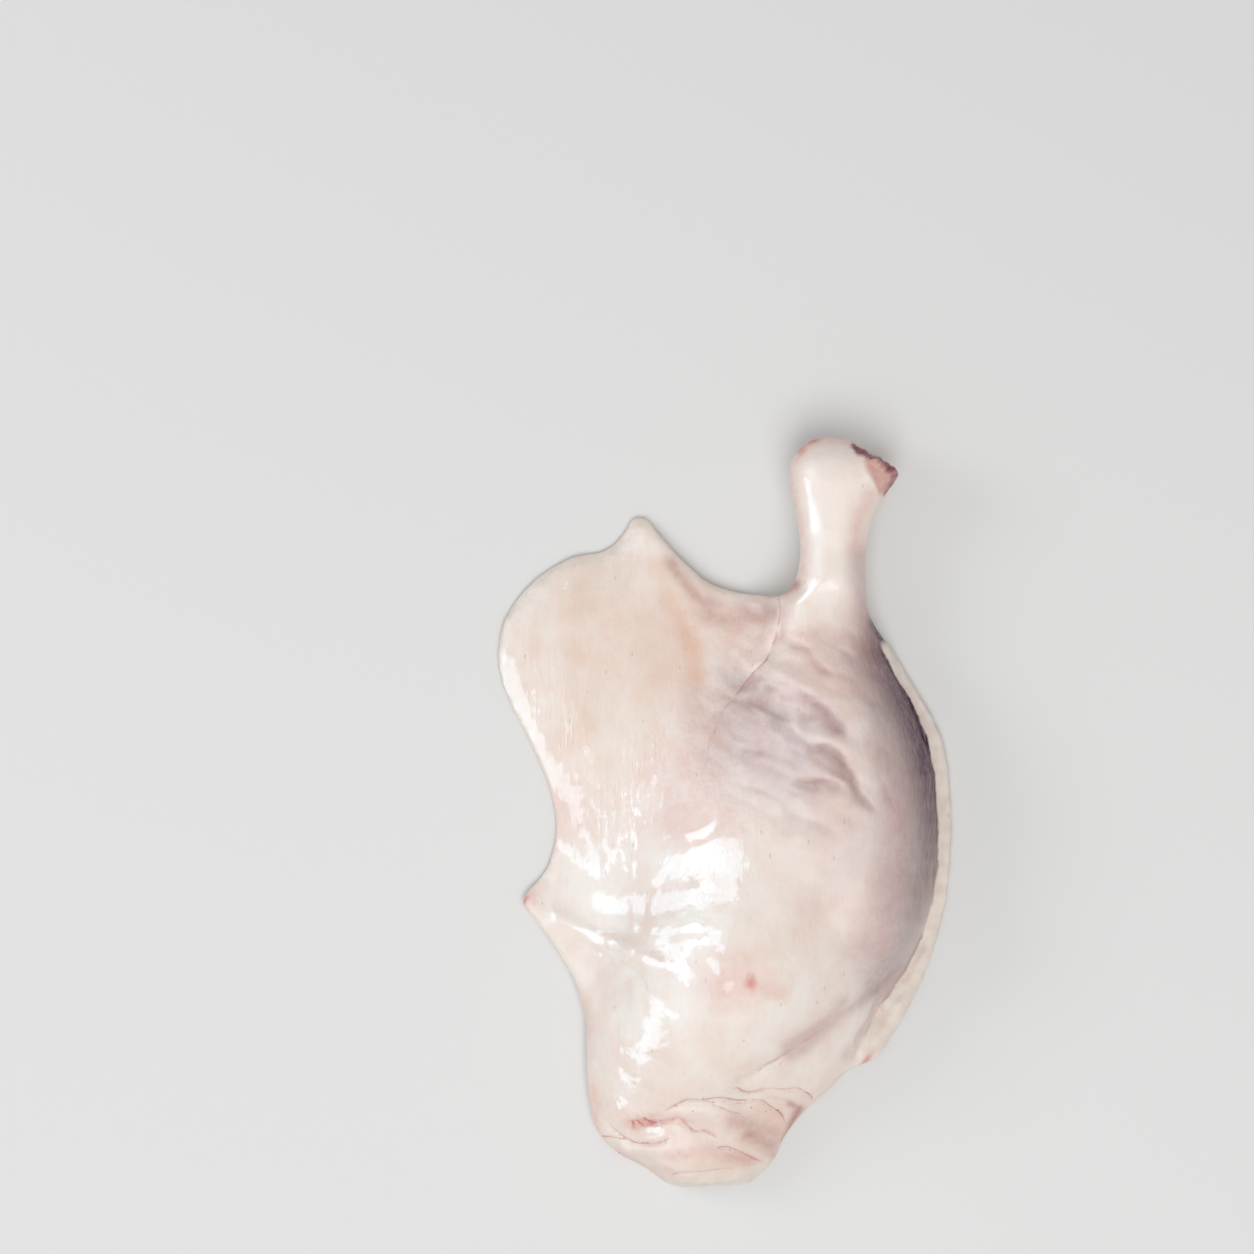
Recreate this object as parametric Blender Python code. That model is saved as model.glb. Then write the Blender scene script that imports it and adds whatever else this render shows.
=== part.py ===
"""A raw duck leg, thigh and drumstick in one piece, lying skin side up.

X runs to the right and Y towards the hock, as seen from above, and Z is up.
The origin is under the middle of the leg, on the surface that it lies on.
"""

import math

import bmesh
import bpy
import numpy as np
from mathutils import Matrix, Vector
from mathutils.geometry import delaunay_2d_cdt

MM = 0.001  # the sizes below are in millimetres

# Driving dimensions
SKIN_THICKNESS = 3.6  # skin with its fat
FLAP_THICKNESS = 5.6  # loose skin beside the muscle
RIM_HEIGHT = 2.4  # where the leg's top and underside meet
BRIM_HEIGHT = 4.8  # fat edge that lies flat beside the knee
SHANK_AXIS_HEIGHT = 12.4
SHANK_LIFT = 4.2  # the thin of the shank clears the surface by this
ROUNDING = 0.42  # width of a rounded side, as a share of the height there
UNDER_ROUNDING = 1.1  # the same for the underside
MUSCLE_RIM = 4.4  # height of the muscle's edge
MUSCLE_ROUNDING = 7.0
BONE_GAP = 0.35
MEAT_GAP = 0.4
FOLD_FADE = 1.6  # a fold runs out over this distance from the leg's edge
SEAM_FADE = 5.0  # the same for a seam, from the muscle's edge
BELOW = 6.0  # how far a cutter reaches under the leg

# How finely the surfaces are divided
OUTLINE_SPACING = 2.8
SKIN_SPACING = 5.4
UNDERSIDE_SPACING = 7.0
FOLD_SPACING = 2.7
MUSCLE_SPACING = 6.4
SEAM_SPACING = 4.2

# The leg's outline from above, from the shank's left side clockwise
OUTLINE = [
    (19.5, 73.5), (18.4, 80.0), (16.9, 86.5), (16.8, 91.5), (18.4, 95.4), (21.6, 98.5),
    (25.4, 99.8), (29.4, 99.7), (33.6, 98.9), (38.4, 98.5), (43.4, 96.8), (47.2, 92.2),
    (45.6, 88.4), (42.8, 84.6), (40.2, 80.0), (38.4, 75.4), (37.5, 70.0), (37.3, 63.0),
    (37.7, 56.5), (39.0, 51.5), (42.2, 46.6), (46.5, 40.6), (50.6, 33.7), (54.4, 27.3),
    (57.4, 21.0), (59.6, 13.4), (60.4, 5.0), (60.5, -4.0), (60.2, -12.0), (59.7, -19.0),
    (58.4, -27.0), (56.3, -35.0), (53.4, -42.6), (50.0, -50.2), (46.2, -57.4), (42.6, -63.0),
    (39.6, -66.2), (35.4, -67.6), (32.6, -68.8), (29.6, -72.0), (25.0, -76.1),
    (19.8, -81.2), (15.8, -86.2), (13.6, -91.6), (10.2, -95.3), (6.4, -98.6),
    (1.0, -99.2), (-5.0, -99.1), (-11.5, -99.7), (-15.6, -98.6), (-20.2, -94.8),
    (-26.0, -92.0), (-31.0, -88.3), (-34.4, -83.2), (-35.9, -77.0), (-36.7, -70.0),
    (-36.9, -62.0), (-37.0, -54.7), (-39.2, -46.6), (-43.6, -38.8), (-48.5, -31.0),
    (-52.2, -26.2), (-54.6, -23.6), (-52.4, -20.9), (-48.6, -16.5), (-46.2, -11.5),
    (-45.0, -3.0), (-46.9, 7.0), (-51.4, 18.0), (-57.0, 29.0), (-60.3, 39.5),
    (-59.6, 48.0), (-56.2, 56.0), (-49.2, 63.2), (-43.0, 67.2), (-37.0, 69.0),
    (-31.6, 70.0), (-27.6, 73.6), (-24.4, 78.6), (-21.8, 79.9), (-17.6, 74.4),
    (-10.2, 66.4), (-4.0, 61.4), (3.5, 58.9), (11.5, 57.9), (16.2, 58.5), (18.4, 62.0),
    (19.6, 67.5),
]  # fmt: skip

# The muscle's outline, which the skin leaves open underneath
MUSCLE_OUTLINE = [
    (20.0, 37.0), (30.0, 36.0), (38.0, 32.4), (44.2, 25.6), (49.0, 17.0), (52.2, 7.0),
    (53.2, -3.0), (52.8, -15.0), (50.8, -25.0), (46.8, -34.4), (41.0, -43.0), (34.5, -51.0),
    (27.6, -58.0), (19.4, -66.5), (12.6, -74.0), (8.0, -82.0), (4.0, -88.6), (-2.0, -92.2),
    (-10.0, -93.0), (-17.6, -90.8), (-24.6, -86.6), (-29.4, -80.4), (-31.2, -72.0),
    (-31.4, -62.0), (-31.8, -53.0), (-33.6, -44.0), (-34.4, -35.0), (-31.6, -24.0),
    (-25.4, -10.0), (-16.6, 5.0), (-7.0, 18.0), (3.0, 30.0), (11.0, 35.6),
]  # fmt: skip

# Masses under the skin: centre, half length, half width, direction in degrees,
# height and softness of the foot
MASSES = {
    "body": ((12.0, -19.0), 86.0, 51.0, 74.0, 30.0, 1.25),
    "calf": ((29.0, 9.0), 50.0, 28.0, 98.0, 33.5, 0.62),
    "knee": ((37.0, -24.0), 29.0, 22.0, 110.0, 30.0, 0.8),
    "thigh": ((5.0, -42.0), 54.0, 37.0, 58.0, 35.0, 0.75),
    "hip": ((-10.0, -78.0), 26.0, 24.0, 100.0, 18.5, 0.6),
    "web": ((-14.0, 22.0), 46.0, 38.0, 50.0, 9.0, 1.2),
}
MASS_BLEND = 3.4  # how widely neighbouring masses run together

# Width of the flat brim along the knee side, by distance along Y
BRIM_LEFT = 20.0
BRIM = [
    (-67.5, 0.0), (-64.0, 3.4), (-58.0, 6.4), (-49.0, 7.0), (-41.0, 5.4), (-33.0, 4.2),
    (-22.0, 3.5), (0.0, 3.5), (20.0, 3.9), (34.0, 3.2), (46.0, 0.0),
]  # fmt: skip

# Where the leg passes into the shank, along Y and along X
SHANK_START = (40.0, 62.0)
SHANK_LEFT = (6.0, 19.0)
# Heights of the shank's top, by distance along Y
SHANK_TOP = [(48.0, 26.0), (58.0, 23.0), (70.0, 21.6), (80.0, 23.4), (90.0, 25.6), (100.0, 24.0)]
# Where the shank's underside rises off the surface and comes down again at the knob
SHANK_RISE = (50.0, 66.0)
SHANK_FALL = (72.0, 88.0)

# Folds of the skin: route, half width, depth, where a negative depth is a ridge
FOLDS = {
    "edge of the web": ([(17.0, 56.6), (14.2, 48.6), (9.0, 38.6), (0.8, 30.1)], 1.6, 1.0),
    "crease of the brim": (
        [(42.6, 41.0), (47.4, 32.6), (51.8, 24.4), (55.6, 13.0), (56.9, 2.0), (56.8, -12.0),
         (55.2, -24.4), (52.2, -34.0), (47.6, -42.8), (42.4, -50.2), (38.4, -58.4), (34.8, -65.4)],
        1.5, 1.4,
    ),
    "flank": ([(38.0, -50.9), (31.4, -54.4), (20.8, -60.6), (7.6, -68.2), (2.5, -71.1)], 2.4, 2.4),
    "first hip fold": (
        [(-17.2, -78.6), (-12.2, -75.8), (-6.1, -74.3), (0.5, -74.5), (7.1, -75.3), (13.7, -77.5),
         (18.5, -79.1)],
        1.9, 2.6,
    ),
    "between the folds": (
        [(2.5, -71.7), (6.6, -72.7), (11.7, -72.2), (18.8, -72.2), (23.8, -75.8)],
        1.7, 1.8,
    ),
    "torn fold": (
        [(-24.4, -82.3), (-19.3, -81.8), (-13.8, -81.1), (-9.6, -81.9), (-5.6, -83.9), (-1.1, -86.0)],
        1.9, 3.0,
    ),
    "lip": ([(-29.9, -82.5), (-27.4, -84.9), (-24.4, -85.9), (-19.3, -85.7), (-14.7, -84.9)], 1.8, 2.2),
    "short hip fold": ([(-4.6, -89.4), (0.5, -88.9), (3.4, -90.5), (8.6, -93.3)], 1.7, 1.8),
    "ridge over the torn fold": ([(-18.0, -78.8), (-8.0, -78.0), (4.0, -80.6)], 2.2, -1.2),
    "ridge under the lip": ([(-24.0, -89.0), (-12.0, -89.4), (-2.0, -91.6)], 2.6, -1.4),
    "left edge fold": ([(-36.0, -52.0), (-22.0, -40.0), (-8.0, -32.0)], 3.0, 0.8),
}  # fmt: skip

# Grooves between the muscles, seen from below
SEAMS = {
    "behind the knee": (
        [(52.0, -22.0), (36.0, -18.0), (18.0, -14.0), (-2.0, -12.0), (-24.0, -8.0)],
        4.0, 4.4,
    ),
    "thigh": ([(40.0, -44.0), (24.0, -44.0), (6.0, -49.0), (-10.0, -54.0)], 3.2, 3.6),
    "hip": ([(16.0, -70.0), (2.0, -68.0), (-12.0, -71.0), (-30.0, -76.0)], 3.0, 3.4),
    "calf": ([(24.0, 36.0), (24.0, 20.0), (16.0, 4.0), (10.0, -12.0)], 2.6, 2.6),
    "round the ball": ([(-34.0, -58.0), (-27.0, -61.0), (-20.0, -58.0)], 8.0, 4.6),
}  # fmt: skip

HIP_BALL = {"centre": (-27.2, -60.6, 6.4), "radius": 5.9, "neck": (-17.6, -57.4, 9.4), "neck_radius": 4.2}
# Middle and radius of the bone, from the hock's cut end up the shank
SHIN_BONE = [
    (39.0, 92.8, 12.4, 4.4), (37.6, 90.8, 12.4, 5.4), (34.2, 86.0, 12.6, 6.2), (30.8, 79.0, 12.8, 5.4),
    (28.8, 70.0, 13.0, 4.5), (28.2, 60.0, 13.4, 4.4), (27.8, 50.0, 14.2, 4.7),
]  # fmt: skip
HOCK_CUT = {"middle": (40.0, 94.2, 12.5), "facing": (0.53, 0.84, 0.1), "size": 40.0}

COLOURS = {
    "skin": ((0.83, 0.68, 0.59, 1.0), 0.38),
    "meat": ((0.55, 0.17, 0.19, 1.0), 0.42),
    "bone": ((0.80, 0.71, 0.62, 1.0), 0.45),
    "cartilage": ((0.84, 0.78, 0.73, 1.0), 0.30),
}


def smooth_loop(points, spacing):
    """A closed Catmull-Rom curve through the points, evenly resampled."""
    points = np.array(points, float)
    before, after, beyond = (np.roll(points, shift, axis=0) for shift in (1, -1, -2))
    steps = 12
    curve = []
    for t in np.arange(steps) / steps:
        curve.append(
            0.5 * (2 * points + (after - before) * t
                   + (2 * before - 5 * points + 4 * after - beyond) * t**2
                   + (3 * points - before - 3 * after + beyond) * t**3)
        )  # fmt: skip
    curve = np.stack(curve, axis=1).reshape(-1, 2)
    return resampled(closed(curve), spacing)[:-1]


def resampled(line, spacing):
    """The polyline with its points an even distance apart, both ends kept."""
    along = np.concatenate([[0.0], np.cumsum(np.linalg.norm(np.diff(line, axis=0), axis=1))])
    at = np.linspace(0.0, along[-1], max(2, round(along[-1] / spacing)) + 1)
    return np.stack([np.interp(at, along, line[:, axis]) for axis in range(line.shape[1])], axis=1)


def closed(loop):
    """The loop with its first point again at the end."""
    return np.vstack([loop, loop[:1]])


def distance_to(line, xy):
    """Distance from each point to a polyline, and how far along it, from 0 to 1."""
    best = np.full(len(xy), np.inf)
    along = np.zeros(len(xy))
    for i, (start, end) in enumerate(zip(line[:-1], line[1:])):
        run = end - start
        t = np.clip((xy - start) @ run / max(run @ run, 1e-12), 0.0, 1.0)
        gap = np.linalg.norm(xy - start - t[:, None] * run, axis=1)
        nearer = gap < best
        best = np.where(nearer, gap, best)
        along = np.where(nearer, (i + t) / (len(line) - 1), along)
    return best, along


def inside(loop, xy):
    """Whether each point lies within the closed loop."""
    x, y = xy[:, 0], xy[:, 1]
    odd = np.zeros(len(xy), bool)
    for (x0, y0), (x1, y1) in zip(loop, np.roll(loop, -1, axis=0)):
        crosses = (y0 > y) != (y1 > y)
        odd ^= crosses & (x < (x1 - x0) * (y - y0) / ((y1 - y0) or 1e-12) + x0)
    return odd


def ease(value, low, high):
    """0 below low, 1 above high and smooth between."""
    t = np.clip((value - low) / (high - low), 0.0, 1.0)
    return t * t * (3.0 - 2.0 * t)


def quarter_round(share):
    """Height of a quarter circle, from 0 at its foot to 1 at its top."""
    return np.sqrt(np.clip(1.0 - (1.0 - np.clip(share, 0.0, 1.0)) ** 2, 0.0, 1.0))


def dome(xy, mass):
    """Height of one mass, on its own."""
    (cx, cy), half_length, half_width, direction, height, softness = mass
    angle = math.radians(direction)
    dx, dy = xy[:, 0] - cx, xy[:, 1] - cy
    u = (dx * math.cos(angle) + dy * math.sin(angle)) / half_length
    v = (dy * math.cos(angle) - dx * math.sin(angle)) / half_width
    return height * np.clip(1.0 - u * u - v * v, 0.0, 1.0) ** softness


def in_shank(xy):
    """1 on the shank and its knob, 0 on the rest of the leg."""
    return ease(xy[:, 1], *SHANK_START) * ease(xy[:, 0], *SHANK_LEFT)


def draped_height(xy):
    """Height of the skin over what it covers, away from the leg's edge."""
    total = np.full(len(xy), math.exp(FLAP_THICKNESS / MASS_BLEND))
    for mass in MASSES.values():
        total += np.exp(dome(xy, mass) / MASS_BLEND) - 1.0
    body = MASS_BLEND * np.log(total)
    at, top = zip(*SHANK_TOP)
    shank = in_shank(xy)
    return body * (1.0 - shank) + np.interp(xy[:, 1], at, top) * shank


def folded(xy, folds):
    """How far the folds lower the surface."""
    drop = np.zeros(len(xy))
    for route, half_width, depth in folds.values():
        line = resampled(np.array(route), 3.0)
        gap, along = distance_to(line, xy)
        fade = np.sin(math.pi * np.clip(along, 0.04, 0.96)) ** 0.5
        drop += depth * fade * np.exp(-((gap / half_width) ** 2))
    return drop


def rim_height(xy):
    """Height at which the leg's top and underside meet."""
    shank = in_shank(xy)
    return RIM_HEIGHT * (1.0 - shank) + SHANK_AXIS_HEIGHT * shank


def brim_width(xy):
    """Width of the flat brim beside each point, which only the knee side has."""
    at, width = zip(*BRIM)
    return np.interp(xy[:, 1], at, width) * (xy[:, 0] > BRIM_LEFT)


def skin_top(xy, edge):
    """The skin over the masses, rounded down to its rim or to the brim."""
    rim, height, brim = rim_height(xy), draped_height(xy), brim_width(xy)
    body = (height - rim) * quarter_round((edge - brim) / (ROUNDING * height))
    flat = (BRIM_HEIGHT - rim) * quarter_round(edge / BRIM_HEIGHT) * (brim > 0.0)
    fade = np.clip(edge / FOLD_FADE, 0.0, 1.0)
    return rim + np.maximum(body, flat) - folded(xy, FOLDS) * fade


def skin_underside(xy, edge):
    rim = rim_height(xy)
    raised = ease(xy[:, 1], *SHANK_RISE) * (1.0 - ease(xy[:, 1], *SHANK_FALL))
    lift = SHANK_LIFT * in_shank(xy) * raised
    width = UNDER_ROUNDING * (rim - lift)
    return rim - (rim - lift) * quarter_round(edge / width)


def muscle_rim(xy):
    return np.full(len(xy), MUSCLE_RIM)


def muscle_top(xy, edge):
    """Under the skin's own thickness, and rounded down to the muscle's edge."""
    skin = smooth_loop(OUTLINE, OUTLINE_SPACING)
    under_skin = skin_top(xy, distance_to(closed(skin), xy)[0]) - SKIN_THICKNESS
    rounded = quarter_round(edge / MUSCLE_ROUNDING)
    return MUSCLE_RIM + np.maximum(under_skin - MUSCLE_RIM, 0.5) * rounded


def muscle_underside(xy, edge):
    """Flattened where it lies, with a groove along each seam."""
    belly = MUSCLE_RIM * (1.0 - quarter_round(edge / MUSCLE_ROUNDING))
    return belly + folded(xy, SEAMS) * ease(edge, 0.5, SEAM_FADE)


def spaced(points, least):
    """The points in their order, without those too near to one kept before."""
    kept = np.empty((0, 2))
    for point in points:
        if not len(kept) or np.linalg.norm(kept - point, axis=1).min() > least:
            kept = np.vstack([kept, point])
    return kept


def clear_of(points, others, least):
    """The points that are no nearer than this to any of the others."""
    gap = np.linalg.norm(points[:, None] - others[None], axis=2).min(axis=1)
    return points[gap > least]


def rings_within(loop, distances, spacing):
    """Points at each distance inside the loop, none nearer to it than that."""
    tangent = np.roll(loop, -1, axis=0) - np.roll(loop, 1, axis=0)
    normal = np.stack([tangent[:, 1], -tangent[:, 0]], axis=1)
    normal /= np.linalg.norm(normal, axis=1)[:, None]
    rings = []
    for distance in distances:
        ring = loop + distance * normal
        ring = ring[inside(loop, ring) & (distance_to(closed(loop), ring)[0] > 0.93 * distance)]
        rings.append(spaced(ring, 0.55 * spacing))
    return np.vstack(rings)


def beside_folds(loop, folds, spacing, margin):
    """Points on each fold's line and to both sides of it, to carry its shape."""
    rows = []
    for route, half_width, _ in folds.values():
        line = resampled(np.array(route), spacing)
        run = np.gradient(line, axis=0)
        across = np.stack([-run[:, 1], run[:, 0]], axis=1)
        across *= half_width / np.linalg.norm(across, axis=1)[:, None]
        rows += [line + side * across for side in (0.0, -1.2, 1.2)]
    points = np.vstack(rows)
    points = points[inside(loop, points)]
    points = points[distance_to(closed(loop), points)[0] > margin]
    return spaced(points, 0.5 * spacing)


def grid_within(loop, margin, spacing):
    """A staggered grid of points further inside the loop than the margin."""
    low, high = loop.min(axis=0), loop.max(axis=0)
    rows = np.arange(low[1], high[1], spacing * math.sqrt(0.75))
    points = [
        (x, y)
        for row, y in enumerate(rows)
        for x in np.arange(low[0] + (row % 2) * spacing / 2, high[0], spacing)
    ]
    points = np.array(points)
    points = points[inside(loop, points)]
    return points[distance_to(closed(loop), points)[0] > margin]


def triangulated(loop, inner):
    """Triangles over the loop and the points in it, facing up, as places in that order."""
    points = np.vstack([loop, inner])
    count = len(loop)
    edges = [(i, (i + 1) % count) for i in range(count)]
    found = delaunay_2d_cdt([tuple(p) for p in points], edges, [], 1, 1e-6)
    flat, triangles, origins = found[0], found[2], found[3]
    if any(len(origin) != 1 for origin in origins):
        raise ValueError("two points of the outline coincide")
    index = [origin[0] for origin in origins]
    faces = []
    for a, b, c in triangles:
        area = (flat[b] - flat[a]).cross(flat[c] - flat[a])
        faces.append((index[a], index[b], index[c]) if area > 0 else (index[a], index[c], index[b]))
    return faces


def slab(name, loop, top, underside, top_points, bottom_points, rim):
    """A closed solid over the loop, with its top and underside as functions of place."""
    count = len(loop)
    mesh = bmesh.new()
    rim_z = rim(loop)
    shared = [mesh.verts.new((x, y, z)) for (x, y), z in zip(loop, rim_z)]
    sides = []
    for points, height, up in ((top_points, top, True), (bottom_points, underside, False)):
        faces = triangulated(loop, points)
        z = height(points, distance_to(closed(loop), points)[0])
        own = [mesh.verts.new((x, y, h)) for (x, y), h in zip(points, z)]
        sides.append((faces, shared + own, up))
    # A corner that both sides cut off with the same triangle would have no thickness
    top_faces, bottom_faces = ({tuple(sorted(f)) for f in side[0]} for side in sides)
    flat_corners = {f for f in top_faces & bottom_faces if f[-1] < count}
    for faces, verts, up in sides:
        for face in faces:
            if tuple(sorted(face)) not in flat_corners:
                mesh.faces.new([verts[i] for i in (face if up else face[::-1])])
    return mesh_object(name, mesh)


def mesh_object(name, mesh):
    data = bpy.data.meshes.new(name)
    bmesh.ops.scale(mesh, vec=(MM, MM, MM), verts=mesh.verts)
    bmesh.ops.recalc_face_normals(mesh, faces=mesh.faces)
    mesh.to_mesh(data)
    mesh.free()
    made = bpy.data.objects.new(name, data)
    bpy.context.collection.objects.link(made)
    return made


def lofted(name, stations, sides=18):
    """A solid of round sections: their middles and radii along its line."""
    middles = [Vector(station[:3]) for station in stations]
    mesh = bmesh.new()
    rings = []
    for i, (*_, radius) in enumerate(stations):
        run = middles[min(i + 1, len(middles) - 1)] - middles[max(i - 1, 0)]
        turn = run.to_track_quat("Z", "Y").to_matrix()
        ring = []
        for side in range(sides):
            angle = 2.0 * math.pi * side / sides
            spoke = Vector((radius * math.cos(angle), radius * math.sin(angle), 0.0))
            ring.append(mesh.verts.new(middles[i] + turn @ spoke))
        rings.append(ring)
    for low, high in zip(rings[:-1], rings[1:]):
        for side in range(sides):
            after = (side + 1) % sides
            mesh.faces.new((low[side], low[after], high[after], high[side]))
    mesh.faces.new(rings[0][::-1])
    mesh.faces.new(rings[-1])
    return mesh_object(name, mesh)


def joint_ball(name, swell=0.0):
    """The ball of the hip joint, drawn out to a narrower neck on one side."""
    ball, neck = Vector(HIP_BALL["centre"]), Vector(HIP_BALL["neck"])
    axis = (neck - ball).normalized()
    radius = HIP_BALL["radius"] + swell
    narrowing = 1.0 - (HIP_BALL["neck_radius"] + swell) / radius
    mesh = bmesh.new()
    bmesh.ops.create_icosphere(mesh, subdivisions=3, radius=radius)
    for vert in mesh.verts:
        along = vert.co.dot(axis)
        towards = max(0.0, along / radius)
        across = vert.co - axis * along
        vert.co -= across * narrowing * min(1.0, 1.6 * towards)
        vert.co += axis * towards * (neck - ball).length + ball
    return mesh_object(name, mesh)


def window_cutter(meat):
    """The meat's room in the skin, open underneath: the meat, swollen and drawn down."""
    data = meat.data.copy()
    cutter = bpy.data.objects.new("room for the meat", data)
    bpy.context.collection.objects.link(cutter)
    normals = [vert.normal.copy() for vert in data.vertices]
    for vert, normal in zip(data.vertices, normals):
        if abs(vert.co.z - MUSCLE_RIM * MM) < 0.01 * MM:
            outward = Vector((normal.x, normal.y, 0.0)).normalized()
            vert.co += outward * MEAT_GAP * MM
        elif vert.co.z < MUSCLE_RIM * MM or normal.z < 0.0:
            vert.co.z = -BELOW * MM
        else:
            vert.co += normal * MEAT_GAP * MM
    return cutter


def cut(target, cutter):
    modifier = target.modifiers.new("cut for " + cutter.name, "BOOLEAN")
    modifier.operation = "DIFFERENCE"
    modifier.object = cutter
    cutter.hide_render = True
    cutter.display_type = "WIRE"


def finish(piece, colour):
    """Its material, and smooth shading but for the sharp edges."""
    base, roughness = COLOURS[colour]
    material = bpy.data.materials.get(colour) or bpy.data.materials.new(colour)
    material.use_nodes = True
    shader = material.node_tree.nodes["Principled BSDF"]
    shader.inputs["Base Color"].default_value = base
    shader.inputs["Roughness"].default_value = roughness
    shader.inputs["Metallic"].default_value = 0.0
    piece.data.materials.append(material)
    piece.data.shade_smooth()
    piece.data.set_sharp_from_angle(angle=math.radians(50.0))


def build_skin():
    loop = smooth_loop(OUTLINE, OUTLINE_SPACING)
    folds = beside_folds(loop, FOLDS, FOLD_SPACING, 1.2)
    rings = clear_of(rings_within(loop, (0.5, 1.6, 3.4, 6.2), 1.1 * OUTLINE_SPACING), folds, 1.1)
    middle = clear_of(grid_within(loop, 8.4, SKIN_SPACING), folds, 0.4 * SKIN_SPACING)
    over = np.vstack([folds, rings, middle])
    rings = rings_within(loop, (0.7, 2.2), 1.3 * OUTLINE_SPACING)
    under = np.vstack([rings, grid_within(loop, 5.0, UNDERSIDE_SPACING)])
    return slab("skin", loop, skin_top, skin_underside, over, under, rim_height)


def build_meat():
    loop = smooth_loop(MUSCLE_OUTLINE, SEAM_SPACING)
    rings = rings_within(loop, (0.5, 1.8, 4.2), SEAM_SPACING)
    middle = grid_within(loop, 6.8, MUSCLE_SPACING)
    seams = beside_folds(loop, SEAMS, SEAM_SPACING, 2.6)
    over = np.vstack([rings, middle])
    under = np.vstack([seams, clear_of(rings, seams, 1.6), clear_of(middle, seams, 0.45 * MUSCLE_SPACING)])
    return slab("meat", loop, muscle_top, muscle_underside, over, under, muscle_rim)


def bone_room():
    """Room for the bone in the skin, open at the hock."""
    first, second = Vector(SHIN_BONE[0]), Vector(SHIN_BONE[1])
    last, before = Vector(SHIN_BONE[-1]), Vector(SHIN_BONE[-2])
    outside = first + 4.0 * (first - second)
    outside[3] = first[3] + 0.6
    beyond = last + BONE_GAP * (last - before) / (last - before).xyz.length
    beyond[3] = last[3]
    stations = [outside, *SHIN_BONE, beyond]
    return lofted("room for the bone", [(*station[:3], station[3] + BONE_GAP) for station in stations])


def hock_cutter():
    """A block that takes the knob off flat where the leg was cut through the joint."""
    middle, facing = Vector(HOCK_CUT["middle"]), Vector(HOCK_CUT["facing"]).normalized()
    size = HOCK_CUT["size"]
    mesh = bmesh.new()
    bmesh.ops.create_cube(mesh, size=size)
    turn = facing.to_track_quat("Z", "Y").to_matrix()
    for vert in mesh.verts:
        vert.co = middle + turn @ (vert.co + Vector((0.0, 0.0, size / 2.0)))
    return mesh_object("hock cut", mesh)


def stand_on_origin(base):
    """Moves everything so that the origin is under the middle of the base piece."""
    corners = [Vector(corner) for corner in base.bound_box]
    low = [min(corner[axis] for corner in corners) for axis in range(3)]
    high = [max(corner[axis] for corner in corners) for axis in range(3)]
    shift = Matrix.Translation((-(low[0] + high[0]) / 2.0, -(low[1] + high[1]) / 2.0, -low[2]))
    for piece in bpy.data.objects:
        piece.data.transform(shift)


def main():
    for old in list(bpy.data.objects):
        bpy.data.objects.remove(old)
    skin = build_skin()
    meat = build_meat()
    bone = lofted("shin_bone", SHIN_BONE)
    ball = joint_ball("hip_joint_ball")
    ball_room = joint_ball("room for the ball", BONE_GAP)
    cut(skin, hock_cutter())
    cut(skin, bone_room())
    cut(skin, window_cutter(meat))
    cut(skin, ball_room)
    cut(meat, ball_room)
    finish(skin, "skin")
    finish(meat, "meat")
    finish(bone, "bone")
    finish(ball, "cartilage")
    stand_on_origin(skin)


main()
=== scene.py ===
import math

import bpy
import numpy as np
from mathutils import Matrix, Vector, noise
from mathutils.bvhtree import BVHTree


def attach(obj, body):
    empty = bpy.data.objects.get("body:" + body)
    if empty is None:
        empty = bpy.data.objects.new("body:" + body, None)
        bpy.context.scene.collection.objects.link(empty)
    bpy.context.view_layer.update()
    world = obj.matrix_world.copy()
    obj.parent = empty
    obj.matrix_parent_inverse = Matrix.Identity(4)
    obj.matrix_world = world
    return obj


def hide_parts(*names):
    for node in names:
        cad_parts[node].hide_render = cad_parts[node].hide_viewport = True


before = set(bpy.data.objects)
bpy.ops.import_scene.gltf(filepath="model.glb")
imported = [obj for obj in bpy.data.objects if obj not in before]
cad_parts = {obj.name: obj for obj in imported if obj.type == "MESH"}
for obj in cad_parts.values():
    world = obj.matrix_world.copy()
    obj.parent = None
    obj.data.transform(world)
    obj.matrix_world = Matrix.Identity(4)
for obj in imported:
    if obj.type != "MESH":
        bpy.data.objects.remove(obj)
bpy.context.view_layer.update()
mm = 0.001  # sizes below are in millimetres
print("frame loaded")

# the picture's own frame: what 1254 pixels of it span, and where its middle falls on the leg
view = {
    "span": 332.3,
    "middle": (-26.0, 49.4),
    "lens": 180.0,
    "sensor": 36.0,
    "sharpHeight": 10.0,  # height at which the span holds
}


def addCamera():
    data = bpy.data.cameras.new("camera")
    data.lens = view["lens"]
    data.sensor_width = view["sensor"]
    camera = bpy.data.objects.new("camera", data)
    bpy.context.scene.collection.objects.link(camera)
    distance = view["span"] * view["lens"] / view["sensor"] + view["sharpHeight"]
    camera.location = (view["middle"][0] * mm, view["middle"][1] * mm, distance * mm)
    bpy.context.scene.camera = camera


def linear(colour):
    parts = [int(colour[i:i + 2], 16) / 255.0 for i in (1, 3, 5)]
    parts = [p / 12.92 if p <= 0.04045 else ((p + 0.055) / 1.055) ** 2.4 for p in parts]
    return (*parts, 1.0)


def addNode(tree, kind, sockets=None, **settings):
    # its sockets are linked or set, with colours in hex, and the outputs come back
    made = tree.nodes.new("ShaderNode" + kind)
    for name, value in settings.items():
        setattr(made, name, value)
    for name, value in (sockets or {}).items():
        if isinstance(value, bpy.types.NodeSocket):
            tree.links.new(value, made.inputs[name])
        else:
            made.inputs[name].default_value = linear(value) if isinstance(value, str) else value
    return made.outputs


def newMaterial(name):
    material = bpy.data.materials.new(name)
    material.use_nodes = True
    material.node_tree.nodes.clear()
    return material


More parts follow.
